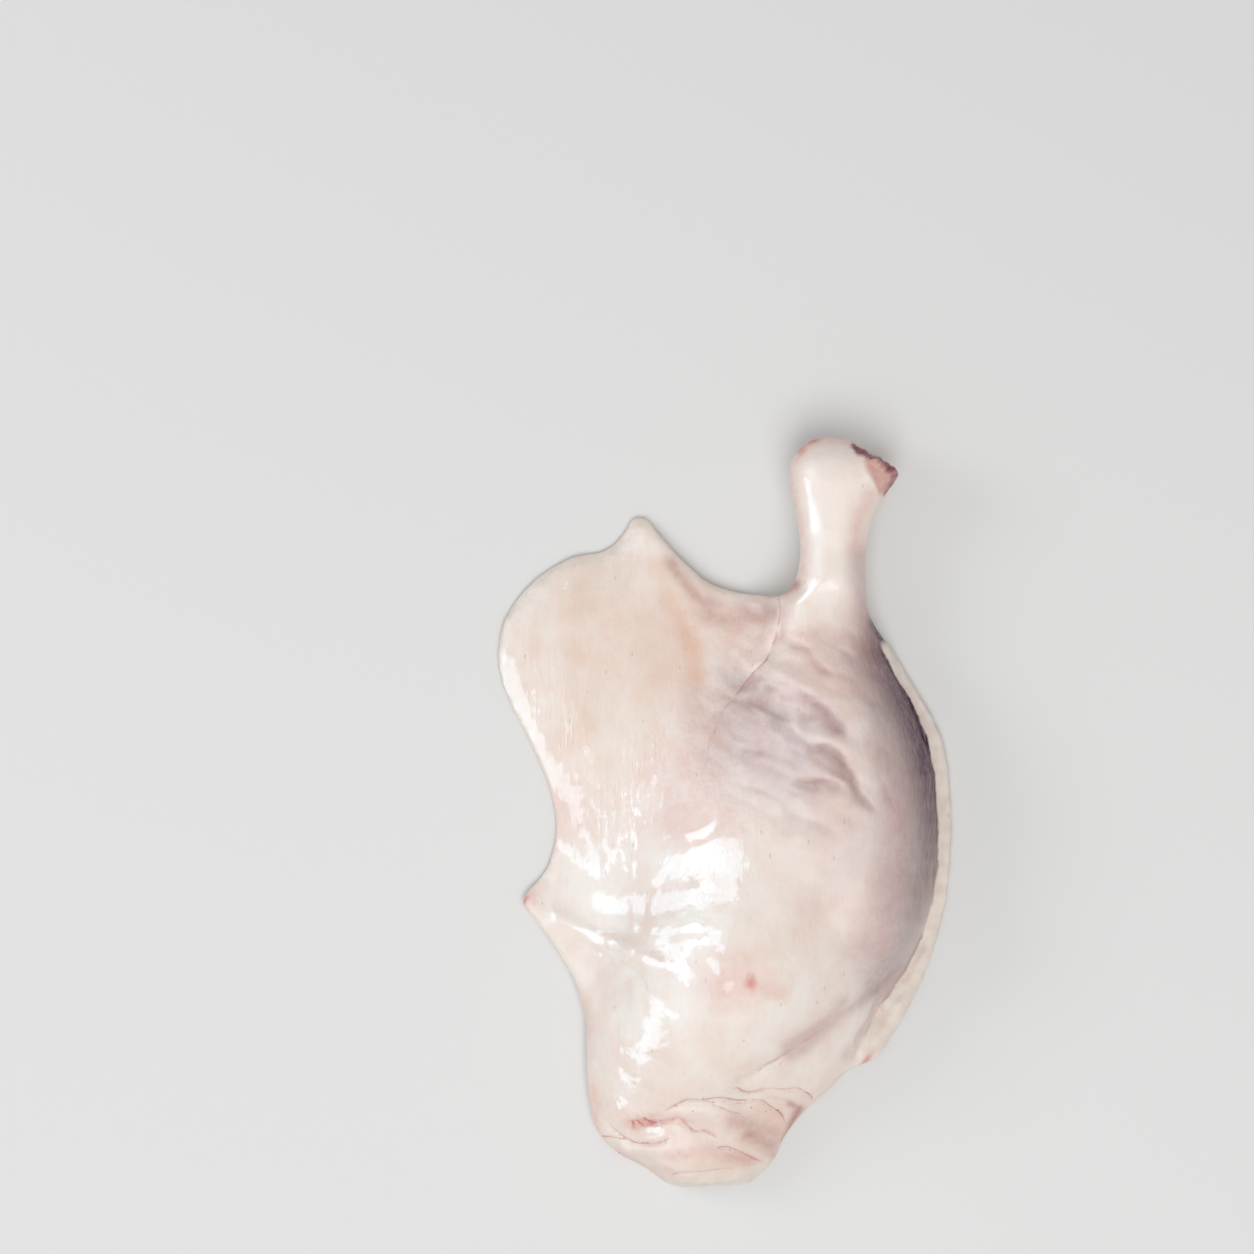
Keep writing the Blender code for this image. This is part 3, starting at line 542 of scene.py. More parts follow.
# where the wet skin is smooth and shines in broad patches: marks as above
wetPatches = [
    ((-0.8, -13.9), (8.4, 7.2), 20, 1),
    ([(-33.1, -23.7), (-27.8, -24.5), (-21.2, -24.5), (-14.6, -22.9), (-6.6, -21.1), (0.8, -18.7)], 3.3, 1),
    ([(-14, -13.9), (-9.3, -12.3), (-4, -9.7), (-0.8, -7.6)], 3.5, 1),
    ([(-9.3, -6), (-5, -4.9), (-2.4, -1.7)], 1.3, 0.8),
    ([(-18.6, -18.2), (-16.2, -16), (-14.6, -12.9)], 1.5, 0.8),
    ([(-23.6, -30.6), (-17.2, -30.9), (-9.3, -29.5), (-2.4, -30.6)], 1.7, 0.8),
    ([(-16.2, -33.5), (-14, -36.2), (-11.9, -39.4), (-10.9, -42)], 2.9, 0.85),
    ([(-21.2, -38.3), (-18.6, -38), (-15.6, -38.8)], 2.2, 0.85),
    ([(-9.8, -35.1), (-7.2, -33.5), (-3.4, -34.1), (-1.3, -35.1)], 2.2, 0.75),
    ([(-4.5, -38.3), (-2.7, -40.1), (-0.8, -42.8), (0.5, -44.7)], 1.5, 0.85),
    ([(-44.8, -26.6), (-38.4, -30.3), (-33.1, -33), (-27.8, -34.8), (-22.5, -36.7)], 2.2, 1),
    ([(-33.1, -36.7), (-29.2, -38.3), (-25.2, -40.9), (-20.4, -45.2)], 0.9, 0.9),
    ([(-18.3, -51), (-19.1, -55.3), (-19.3, -59.5), (-21.2, -63.2)], 3, 1),
    ([(-27.3, -62.7), (-24.6, -63.5), (-21.5, -64.3)], 1.6, 0.85),
    ([(-15.4, -51.5), (-12.5, -52.1)], 1.2, 0.8),
    ([(-29.9, -68), (-25.2, -69.6), (-20.4, -71.2)], 2.2, 0.9),
    ([(-29.4, -73.8), (-27.3, -76.5)], 1.8, 0.8),
    ([(-59.9, 39.6), (-57, 33.8), (-53.8, 28.5)], 4.2, 1),
    ([(-55.4, 30.1), (-52.7, 24.2), (-50.1, 18.2), (-47.4, 12.1)], 2.6, 0.95),
    ([(-49, 15.2), (-44.8, 9.4), (-40.5, 3.6)], 3.2, 0.95),
    ([(-42.4, 7.6), (-39.8, 1.5), (-37.9, -4.4), (-35.2, -9.1), (-34.2, -13.9)], 1.8, 0.9),
    ([(-43.7, -8.3), (-40.5, -11.3), (-37.1, -14.4), (-33.7, -16)], 1.7, 0.9),
    ([(-32.1, -7), (-30.5, -11), (-31.5, -15)], 1.1, 0.85),
    ([(-27.6, -6.5), (-29.9, -13.4)], 0.9, 0.8),
    ([(-27.3, -10.2), (-26.8, -15)], 0.7, 0.8),
    ([(-24.1, -5.4), (-23.3, -9.7)], 0.7, 0.8),
    ([(-24.1, -12.9), (-23.9, -16.8)], 0.7, 0.8),
    ([(-35.8, 3.6), (-34.2, 0.4)], 0.8, 0.8),
    ([(-28.1, 6.8), (-27.8, 4.1)], 0.6, 0.8),
    ([(-22.5, 5.7), (-22.3, 3)], 0.6, 0.8),
    ((-25, 4), (13, 13), 0, 0.3),
    ((-40, 20), (7, 16), 20, 0.3),
    ([(-43.5, 63.2), (-41.9, 59.8)], 1, 0.8),
    ([(20.6, 87), (21.6, 81), (22.8, 75.4)], 2.2, 1),
    ([(15.4, 56), (21, 58.4), (28.1, 60.4)], 1.8, 0.9),
    ([(-23.6, -84.4), (-18, -84), (-13.8, -83.9)], 1.5, 1),
]
# more thin red creases: route, half width and strength
redCreases = [
    ([(14, 57.6), (14.8, 54.5), (13.3, 47.3), (10.9, 41.2), (7.4, 37.2), (4.8, 34.6), (1.6, 30.6)],
     0.22, 0.5),
    ([(1.6, 30.6), (-1, 26), (-4, 18), (-6, 10)], 0.18, 0.2),
    ([(24, -58.6), (15.4, -63.4), (8, -68)], 0.24, 0.3),
]
# feather roots with a little blood in them, most along the hip's folds
bloodDots = [
    (10.9, 40.7), (7.4, 37.2), (1.1, 30.6), (-18.3, -67.9), (-10.8, -67.9), (-3.6, -68.5), (-12.7, -73.7),
    (-6, -74.5), (-3.6, -75.8), (7.2, -75.3), (6.8, -77.3), (10.8, -78.7), (-2, -79.3), (-8.7, -77.9),
    (1.2, -88.9), (10.4, -73.5), (-17.1, -80.9), (-28.1, -90.4), (14, -78.4), (2.2, -71.9), (6, -73.1),
]


def pressFolds(places, wandering):
    # how far the creases and folds lift or sink the skin, and how much shade is painted into the calf's
    # valleys and the puckers' troughs
    lift = np.zeros(len(places))
    folds = [(route, *fold) for route, fold, _ in hipCreases] + skinFolds
    for route, halfWidth, depth, step in folds:
        gap, along = fromRoute(wandering, route)
        stepUp = smoothStep(gap, -0.3, 0.3) - smoothStep(-gap, -0.3, 0.3)
        stepUp *= 0.5 * step * np.exp(-np.abs(gap) / (4.0 * halfWidth))
        lift += (stepUp - depth * hump(gap, halfWidth)) * fadeAtEnds(along, route, 2.0 + 2.0 * halfWidth)
    paintedHollowShades, swells = np.zeros(len(places)), np.zeros(len(places))
    for route, reach, depth, step, tone in calfValleys:
        gap, along = fromRoute(wandering, route)
        ends = fadeAtEnds(along, route, 5.5)
        onSlope = np.where(gap < 0.0, gap, gap / 0.3)  # the valley's left side is steep
        valley = hump(onSlope, reach * (0.4 + 0.6 * ends)) * ends
        lift += 0.5 * step * np.tanh(gap / 0.5) * np.exp(-np.abs(gap) / (1.2 * reach)) * ends - depth * valley
        # painted shade in the valley, as dark as its tone
        paintedHollowShades = np.maximum(paintedHollowShades, valley * tone)
    for route, halfWidth, height in calfSwells:
        gap, along = fromRoute(wandering, route)
        swells = np.maximum(swells, height * hump(gap, halfWidth) * fadeAtEnds(along, route, 6.0))
    slack = inPatch(places, puckers["middle"], puckers["radii"], 0.0, 0.3, 0.9)
    slanted = np.stack([*turned(wandering, puckers["degrees"]), places[:, 2]], 1) / puckers["size"]
    rolls = uneven(slanted, 1.0, 2.3) + 0.22 * uneven(slanted, 0.5, 7.1)
    lift += swells + slack * puckers["height"] * rolls
    # the slack skin's puckers also get painted shade in their troughs
    return lift, np.maximum(paintedHollowShades, 0.5 * slack * smoothStep(-rolls, 0.0, 0.45))


def shapeSkin():
    piece = fineCopy("skin", "duckSkin", duckSkin)
    thinOut(piece, coveredSkin(placesOf(piece)), duckSkin["triangles"])
    places, normals = placesOf(piece), normalsOf(piece)
    covered = coveredSkin(places)
    upper = smoothStep(normals[:, 2], -0.25, 0.25) * (1.0 - covered)
    lower = smoothStep(-normals[:, 2], 0.3, 0.7) * (1.0 - covered)
    driftSize, driftReach = duckSkin["drift"]
    drift = driftOf(places, driftSize)
    wandering = places + drift * driftReach
    lift, paintedHollowShades = pressFolds(places, wandering)
    for name, where, seed in [("swells", 1.0, 9.0), ("ripples", 1.0, 2.0),
                              ("flapWaves", inPatch(places, *duckSkin["flap"]), 5.0)]:
        height, size = duckSkin[name]
        lift += where * height * uneven(places, size, seed)
    creaseX, creaseY = np.array(brimCrease[::-1]).T
    brim = smoothStep(places[:, 0] - np.interp(places[:, 1], creaseY, creaseX), -0.3, 0.9)
    brimFrom, brimTo = duckSkin["brimEnds"]
    brim *= smoothStep(places[:, 1], brimFrom, brimFrom + 8.0) * smoothStep(brimTo - places[:, 1], 0.0, 6.0)
    rims = strongest(places, fatRims)
    lumpHeight, lumpSize = duckSkin["fatLumps"]
    lumps = uneven(places, lumpSize, 1.0) + 0.5 * uneven(places, np.array(lumpSize) * 0.45, 6.0)
    lift += lumpHeight * lumps * np.maximum(brim, rims)
    # the skin ends in a lip at the hock, and the flesh beyond it lies lower
    gap = fromRoute(wandering, hockCut["skinEdge"])[0]
    atHock = smoothStep(places[:, 1], 82.0, 85.0)
    flesh = smoothStep(gap, -0.9, 0.9) * atHock
    lift += hockCut["skinEdgeHeight"] * hump(gap + 0.9, 0.8) * atHock
    lift -= (0.45 + 0.4 * uneven(places, 1.8, 3.0)) * flesh
    for x, y in hockCut["pits"]:
        lift -= hockCut["pitDepth"] * hump(np.hypot(places[:, 0] - x, places[:, 1] - y), hockCut["pitWidth"])
    pushOut(piece, lift * upper - fatUnderSkin["relief"] * (1.0 + lumps) * lower)
    spreadFatEdge(piece)
    fromRim = np.abs(fromRoute(places, flapRim)[0])
    slope = np.clip(1.0 - fromRim / flapSlope["width"], 0.0, 1.0) ** flapSlope["power"]
    places = placesOf(piece)
    places[:, 2] *= 1.0 - flapSlope["share"] * slope
    placeAt(piece, places)
    print("skin folds pressed in")

    normals = normalsOf(piece)
    topSide = smoothStep(normals[:, 2], -0.35, 0.05)
    tints = {}
    for name, marks in skinTints.items():
        tints[name] = np.minimum(1.2 * strongest(places, marks), 1.0) * topSide
    tints["clot"] *= smoothStep(places[:, 2] + 3.0 * uneven(places, 3.5, 4.0), 8.5, 15.5)
    keepFields(piece, tints)
    gap, tone = np.full(len(places), 5.0), np.zeros(len(places))
    for route, halfWidth, strength in [(route, *red) for route, _, red in hipCreases] + redCreases:
        here, along = fromRoute(wandering, route)
        here = here / halfWidth
        nearer = np.abs(here) < np.abs(gap)
        gap[nearer] = here[nearer]
        ends = smoothStep(np.minimum(along, 1.0 - along), 0.0, 0.08)
        tone[nearer] = (ends * strength * (np.abs(here) < 3.0))[nearer]
    dots = np.min([np.hypot(places[:, 0] - x, 1.5 * (places[:, 1] - y)) for x, y in bloodDots], axis=0)
    onCut, fromBone, _ = cutFace(places, normals)
    fleshOnCut = onCut * smoothStep(hockCut["fleshRadius"] + 1.2 * drift[:, 0] - fromBone, -0.4, 0.4)
    tendons = np.zeros(len(places))
    for spot, radius in hockCut["tendons"]:
        tendons = np.maximum(tendons, smoothStep(radius - np.linalg.norm(places - spot, axis=1), -0.35, 0.25))
    bulge = hockCut["bulge"] * hump(places[:, 0] - hockCut["bulgeAt"], hockCut["bulgeWidth"])
    bulge *= smoothStep(places[:, 2], 8.0, 13.0)
    rough = 0.25 * uneven(places, 1.4, 5.0)
    pushOut(piece, onCut * (rough - 0.35 * fleshOnCut + 0.5 * tendons + bulge))
    closeRoundBone(piece)
    inner = duckSkin["nearMuscle"]
    keepFields(piece, {
        "creaseGap": np.clip(gap, -5.0, 5.0),
        "creaseTone": tone * topSide,
        "dotGap": np.where(normals[:, 2] > 0.0, np.minimum(dots, 5.0), 5.0),
        "paintedHollowShade": paintedHollowShades * topSide,
        "crinkle": strongest(places, crinkles) * topSide,
        "fat": np.maximum.reduce([brim, 0.35 * rims, strongest(wandering, hipRim), 1.0 - topSide]),
        "flesh": np.maximum(flesh, fleshOnCut),
        "tendon": tendons * onCut,
        "wet": np.maximum(strongest(wandering, wetPatches) * topSide, 0.35 * flesh),
        "nearMuscle": np.clip(1.0 - nearestOn(placesOf(piece), "meat", inner)[1] / inner, 0.0, 1.0),
        "under": 1.0 - topSide,
    })
    return piece


# under the leg the skin's fat runs out over the muscle in ragged lobes
fatUnderSkin = {
    "relief": 0.3,
    "reach": 3.4,
    "lobes": [(15.0, 0.8), (5.5, 0.45), (2.4, 0.25)],  # size and share
    "below": 1.3,
    "from": 6.0,
}


def spreadFatEdge(piece):
    places = placesOf(piece)
    nearest, gap = nearestOn(places, "meat", fatUnderSkin["from"])
    level = smoothStep(fatUnderSkin["below"] + 1.0 - places[:, 2], 0.0, 1.0)
    towards = nearest - places
    towards[:, 2] = 0.0
    towards /= np.maximum(np.linalg.norm(towards, axis=1), 1e-6)[:, None]
    flat = places * (1.0, 1.0, 0.0)
    lobes = 0.5 + sum(share * uneven(flat, size, size) for size, share in fatUnderSkin["lobes"])
    share = smoothStep(fatUnderSkin["from"] - gap, 0.0, fatUnderSkin["from"]) * level
    places += towards * (fatUnderSkin["reach"] * np.clip(lobes, 0.12, 1.3) * share)[:, None]
    placeAt(piece, places)


def cutFace(places, normals):
    # 1 on the hock's cut face, and how far and which way each place lies there from the bone's middle
    facing = np.array(hockCut["facing"])
    off = places - np.array(hockCut["middle"])
    depth = off @ facing
    face = smoothStep(normals @ facing, 0.45, 0.8) * smoothStep(depth, -3.0, -1.2)
    across = off - depth[:, None] * facing
    fromBone = np.linalg.norm(across, axis=1)
    return face, fromBone, across / np.maximum(fromBone, 1e-6)[:, None]


def closeRoundBone(piece):
    # the flesh on the cut lies against the bone
    places = placesOf(piece)
    onCut, fromBone, outward = cutFace(places, normalsOf(piece))
    near = smoothStep(hockCut["boneRadius"] - fromBone, 0.0, 1.6)
    placeAt(piece, places - outward * (hockCut["pull"] * onCut * near)[:, None])


def coveredSkin(places):
    # the side of the skin that lies on the muscle or the bone
    onMuscle = (nearestOn(places, "meat", 1.1)[1] < 1.1) & (places[:, 2] > 1.4)
    onBone = (nearestOn(places, "shin_bone", 1.0)[1] < 1.0) & (places[:, 1] < 90.0)
    return (onMuscle | onBone).astype(float)


# the muscle's underside: places are seen from above, as for the skin, so left is the flap's side
duckMuscle = {
    "voxel": 0.7,
    "subdivisions": 2,
    "smoothing": 4,
    "bundles": 0.28,
    "swells": 0.6,
    "rim": 6.5,  # how far in from its edge the underside is drawn in, below the skin's fat
    "rimDepth": 1.5,
    "drift": (7.0, 1.6),  # as for the skin
}
# gaps between muscles: route, half width, depth
muscleGaps = [
    ([(47, -30), (36, -27), (20, -25), (2, -27), (-14, -25), (-29, -20)], 2.6, 2.8),
    ([(25, 34), (26, 20), (20, 4), (12, -10), (6, -24)], 2, 2.4),
    ([(36, -47), (22, -48), (6, -52), (-6, -60), (-18, -61)], 2.2, 2.6),
    ([(14, -70), (2, -69), (-8, -66), (-20, -68), (-30, -74)], 2, 2.4),
    ([(-24, -24), (-18, -38), (-14, -50), (-10, -60)], 2, 2.2),
    ([(2, -74), (-3, -82), (-4, -91)], 1.6, 1.8),
    ([(44, -12), (30, -14), (14, -18)], 1.6, 1.4),
    ([(-2, 22), (-6, 8), (-8, -8), (-6, -20)], 1.8, 1.6),
]
# fat between and over the muscles, membranes, and darker muscles: marks as for the skin's tints
muscleTints = {
    "fat": [
        ((10, 33), (34, 11), -12, 1),
        ([(47, -27), (38, -27), (26, -29)], 2.4, 1),
        ((10, -32), (16, 7.5), 8, 1),
        ([(2, -30), (-8, -24), (-20, -18)], 3, 0.9),
        ([(4, -62), (-8, -62.5), (-22, -62)], 3, 1),
        ([(-7, -63), (-9, -55), (-13, -48)], 2.2, 0.95),
        ([(0, -64), (5, -71), (6, -78)], 1.9, 0.85),
        ((-29, -6), (5, 14), 30, 0.9),
    ],
    "membrane": [
        ([(40, -8), (32, 2), (24, 14)], 9, 0.6),
        ([(-20, -38), (-8, -36), (2, -34)], 4.5, 0.7),
        ((20, -56), (14, 6), 30, 0.35),
        ((-8, -84), (14, 6), 0, 0.3),
        ((0, 12), (10, 16), -20, 0.5),
    ],
    "dark": [
        ((-25, -36), (8, 18), 8, 1),
        ((24, -10), (18, 8), 10, 0.45),
        ((28, -40), (12, 5), 20, 0.6),
        ((10, -88), (7, 7), 0, 0.4),
    ],
}
# which way each muscle's fibres run: middle, reach and direction in degrees
fibreRuns = [
    ((36, 4), 16, 75), ((12, 4), 14, 105), ((24, -38), 12, 25),
    ((-4, -42), 12, 50), ((16, -58), 12, 40), ((-25, -36), 10, 80),
    ((-4, -76), 10, 10), ((4, -88), 9, 35), ((-20, -82), 9, -20),
]


def shapeMeat():
    piece = fineCopy("meat", "duckMuscle", duckMuscle)
    places, normals = placesOf(piece), normalsOf(piece)
    lower = smoothStep(-normals[:, 2], -0.1, 0.4)
    driftSize, driftReach = duckMuscle["drift"]
    wandering = places + driftOf(places, driftSize) * driftReach
    gaps, depth = np.zeros(len(places)), np.zeros(len(places))
    for route, halfWidth, deep in muscleGaps:
        gap, along = fromRoute(wandering, route)
        ends = smoothStep(np.minimum(along, 1.0 - along), -0.01, 0.2)
        gaps = np.maximum(gaps, hump(gap, halfWidth) * ends)
        depth = np.maximum(depth, deep * np.exp(-np.abs(gap) / (1.2 * halfWidth)) * ends)
    rim = 1.0 - nearestOn(places, "skin", duckMuscle["rim"])[1] / duckMuscle["rim"]
    rimFat = smoothStep(rim + 0.7 * uneven(places, 11.0, 6.0) + 0.3 * uneven(places, 4.0, 2.0), 0.15, 0.9)
    fat = np.maximum(strongest(wandering, muscleTints["fat"]), 0.8 * rimFat)
    weights, across = np.zeros(len(places)), np.zeros(len(places))
    for middle, reach, degrees in fibreRuns:
        weight = (hump(np.hypot(places[:, 0] - middle[0], places[:, 1] - middle[1]), reach) + 1e-6) ** 4
        weights += weight
        across += weight * turned(places, degrees)[1]
    across /= weights
    fibreAt = np.stack([across, places[:, 2] * 0.3, (places[:, 0] + places[:, 1]) * 0.05], 1)
    lift = duckMuscle["bundles"] * uneven(fibreAt, 2.2, 4.0) * (1.0 - fat)
    lift += duckMuscle["swells"] * uneven(places, 12.0, 2.0) - depth - 0.5
    lobes = 0.5 * uneven(places, 4.0, 5.0) + 0.25 * uneven(places, 1.8, 2.0)
    lift += fat * (lobes + 0.7 * smoothStep(depth, 0.3, 1.5))
    lift -= duckMuscle["rimDepth"] * smoothStep(rim, 0.1, 0.8)
    pushOut(piece, np.minimum(lift, 0.0) * lower)
    keepFields(piece, {
        "across": across,
        "gap": gaps * lower,
        "fat": fat,
        "membrane": strongest(wandering, muscleTints["membrane"]),
        "dark": strongest(wandering, muscleTints["dark"]),
    })
    return piece


shinBoneEnd = {
    "voxel": 0.4,
    "subdivisions": 2,
    "smoothing": 3,
    "marrowRadius": 3.4,
    "marrowDepth": 0.9,
    "sawMarks": 0.18,
    "sunk": 0.15,
}


def shapeBoneEnd():
    piece = fineCopy("shin_bone", "shinBoneEnd", shinBoneEnd)
    places = placesOf(piece)
    face, fromMiddle, _ = cutFace(places, normalsOf(piece))
    marrow = face * smoothStep(shinBoneEnd["marrowRadius"] - fromMiddle, -0.4, 0.6)
    rough = shinBoneEnd["sawMarks"] * uneven(places, 0.9, 4.0) - shinBoneEnd["sunk"]
    pushOut(piece, rough * face - shinBoneEnd["marrowDepth"] * marrow)
    keepFields(piece, {"marrow": marrow})
    return piece


hipJointBall = {
    "voxel": 0.42,
    "subdivisions": 2,
    "smoothing": 6,
    "lumps": 0.22,
    "sunk": 0.2,
    "shreds": 0.5,
    "neck": (-25.0, -21.0),  # where the cap turns into the neck
}


def shapeHipBall():
    piece = fineCopy("hip_joint_ball", "hipJointBall", hipJointBall)
    places = placesOf(piece)
    neck = smoothStep(places[:, 0] + 1.4 * uneven(places, 3.0, 4.0), *hipJointBall["neck"])
    shreds = hipJointBall["shreds"] * neck * uneven(places, 1.6, 7.0)
    pushOut(piece, hipJointBall["lumps"] * uneven(places, 5.0, 3.0) - hipJointBall["sunk"] + shreds)
    keepFields(piece, {"neck": neck})
    return piece


def addFields(tree, names):
    # sockets by name: the place in metres, and the fields kept on the piece
    at = {"place": addNode(tree, "TexCoord")["Object"]}
    for name in names:
        at[name] = addNode(tree, "Attribute", attribute_name=name)["Fac"]
    return at


def addGrains(tree, at, grains):
    # noise: where it lies, its size in millimetres, detail and roughness
    for name, (where, size, detail, roughness) in grains.items():
        at[name] = addNode(tree, "TexNoise", {
            "Vector": at[where], "Scale": 1000 / size, "Detail": detail, "Roughness": roughness,
        })["Fac"]


def addMasks(tree, at, masks):
    # each mask is a sum of a socket and weighed others, or how far that lies from a value, stepped
    # from its least to its most, smoothly or evenly, and thinned by other masks
    for name, mask in masks.items():
        value = at[mask["of"][0]]
        for other, weight in mask["of"][1:]:
            value = addNode(tree, "Math", {0: at[other], 1: weight, 2: value}, operation="MULTIPLY_ADD")[0]
        if "around" in mask:
            value = addNode(tree, "Math", {0: value, 1: mask["around"]}, operation="SUBTRACT")[0]
            value = addNode(tree, "Math", {0: value}, operation="ABSOLUTE")[0]
        value = addNode(tree, "MapRange", {
            "Value": value, "From Min": mask["from"], "From Max": mask["to"],
            "To Min": mask.get("least", 0.0), "To Max": mask.get("most", 1.0),
        }, interpolation_type="LINEAR" if mask.get("even") else "SMOOTHSTEP")[0]
        for other in mask.get("times", []):
            value = addNode(tree, "Math", {0: value, 1: at[other]}, operation="MULTIPLY")[0]
        at[name] = value


def layColours(tree, at, colour, layers):
    # sockets 6 and 7 of a Mix node are its two colours and output 2 the mixed one
    for mask, tint in layers:
        colour = addNode(tree, "Mix", {0: at[mask], 6: colour, 7: tint}, data_type="RGBA")[2]
    return colour


# layers over the skin's own colour, several of them partly painted shade or highlight: field, colour, how
# much at most, what breaks it up and by how much
skinLayers = [
    # the flap's warm fat, partly painted shade along its fold
    ("tan", "#ecceb8", 0.8, "cloud", 0.4),
    # flesh through thin skin, partly painted shade in folds and valleys
    ("mauveFleshAndShade", "#a8757d", 0.9, "mottle", 0.2),
    # painted shade in the calf's valleys and puckers
    ("paintedHollowShade", "#8c5f5e", 0.62, "mottle", 0.15),
    # pale dry skin, partly painted highlights on the calf's swells
    ("pale", "#fff2ea", 0.6, "cloud", 0.2),
    # dark flesh, partly painted shade on the steep knee side
    ("purpleFleshAndShade", "#4c2842", 0.97, "streak", 0.12),
    # painted shade in the folds
    ("brown", "#b5857a", 0.8, "mottle", 0.3),
    # blood under the skin, partly painted shade along the shank's edges
    ("blushAndEdgeShade", "#e6b3a8", 0.62, "mottle", 0.5),
    ("blood", "#c43f34", 0.7, "mottle", 0.6),
]
skinGrains = {
    "cloud": ("place", 14.0, 3.0, 0.55),
    "mottle": ("place", 2.8, 3.0, 0.6),
    "streak": ("lengthwise", 1.3, 2.0, 0.6),
    "flecks": ("lengthwise", 0.75, 1.0, 0.5),
    "drops": ("slanting", 2.0, 5.0, 0.75),
    "lumps": ("place", 5.0, 4.0, 0.45),
    "pebble": ("place", 1.2, 1.0, 0.5),
}
skinMasks = {
    "warmer": {"of": ["cloud"], "from": 0.36, "to": 0.64, "even": True},
    "streaky": {"of": ["streak"], "from": 0.5, "to": 0.75, "most": 0.12, "even": True},
    # pale flecks where the dark side's skin is stretched over its feather roots
    "fleck": {"of": ["flecks"], "from": 0.56, "to": 0.74, "most": 0.42, "even": True,
              "times": ["purpleFleshAndShade"]},
    # fat: cream lobes with greyer gaps
    "fatty": {"of": ["fat", ("mottle", 0.7)], "from": 0.55, "to": 1.05},
    "lobeGap": {"of": ["lobe"], "from": 0.2, "to": 0.8},
    # the fat's inner side: pink membrane in clouds, most of it near the muscle, and red-brown specks
    "membrane": {"of": ["cloud", ("mottle", 0.5), ("nearMuscle", 0.22)], "from": 0.72, "to": 1.0,
                 "most": 0.8, "times": ["under"]},
    "rareLobe": {"of": ["lobeChance"], "from": 0.7, "to": 1.0, "most": 0.9, "even": True},
    "speck": {"of": ["lobe"], "from": 0.16, "to": 0.06, "times": ["rareLobe", "under"]},
    # dark blood at the hock
    "clotted": {"of": ["clot", ("mottle", 0.8)], "from": 0.62, "to": 1.2, "most": 0.92},
    "redder": {"of": ["mottle"], "from": 0.35, "to": 0.65},
    # thin red creases, drawn from the distance to them, and broken up
    "broken": {"of": ["mottle"], "from": 0.36, "to": 0.6, "least": 0.2, "even": True},
    "crease": {"of": ["creaseGap", ("streak", 0.9)], "around": 0.45, "from": 1.6, "to": 0.2,
               "times": ["broken", "creaseTone"]},
    # feather roots, a few with blood in them
    "rootDot": {"of": ["root"], "from": 0.13, "to": 0.05, "most": 0.3, "times": ["rareRoot"]},
    "bloodDot": {"of": ["dotGap"], "from": 0.5, "to": 0.15, "most": 0.6},
    # the wet film, in drops and along the creases
    "wetFilm": {"of": ["wet", ("slack", 2.4), ("drops", 2.4)], "from": 1.68, "to": 1.76, "least": 0.1},
}


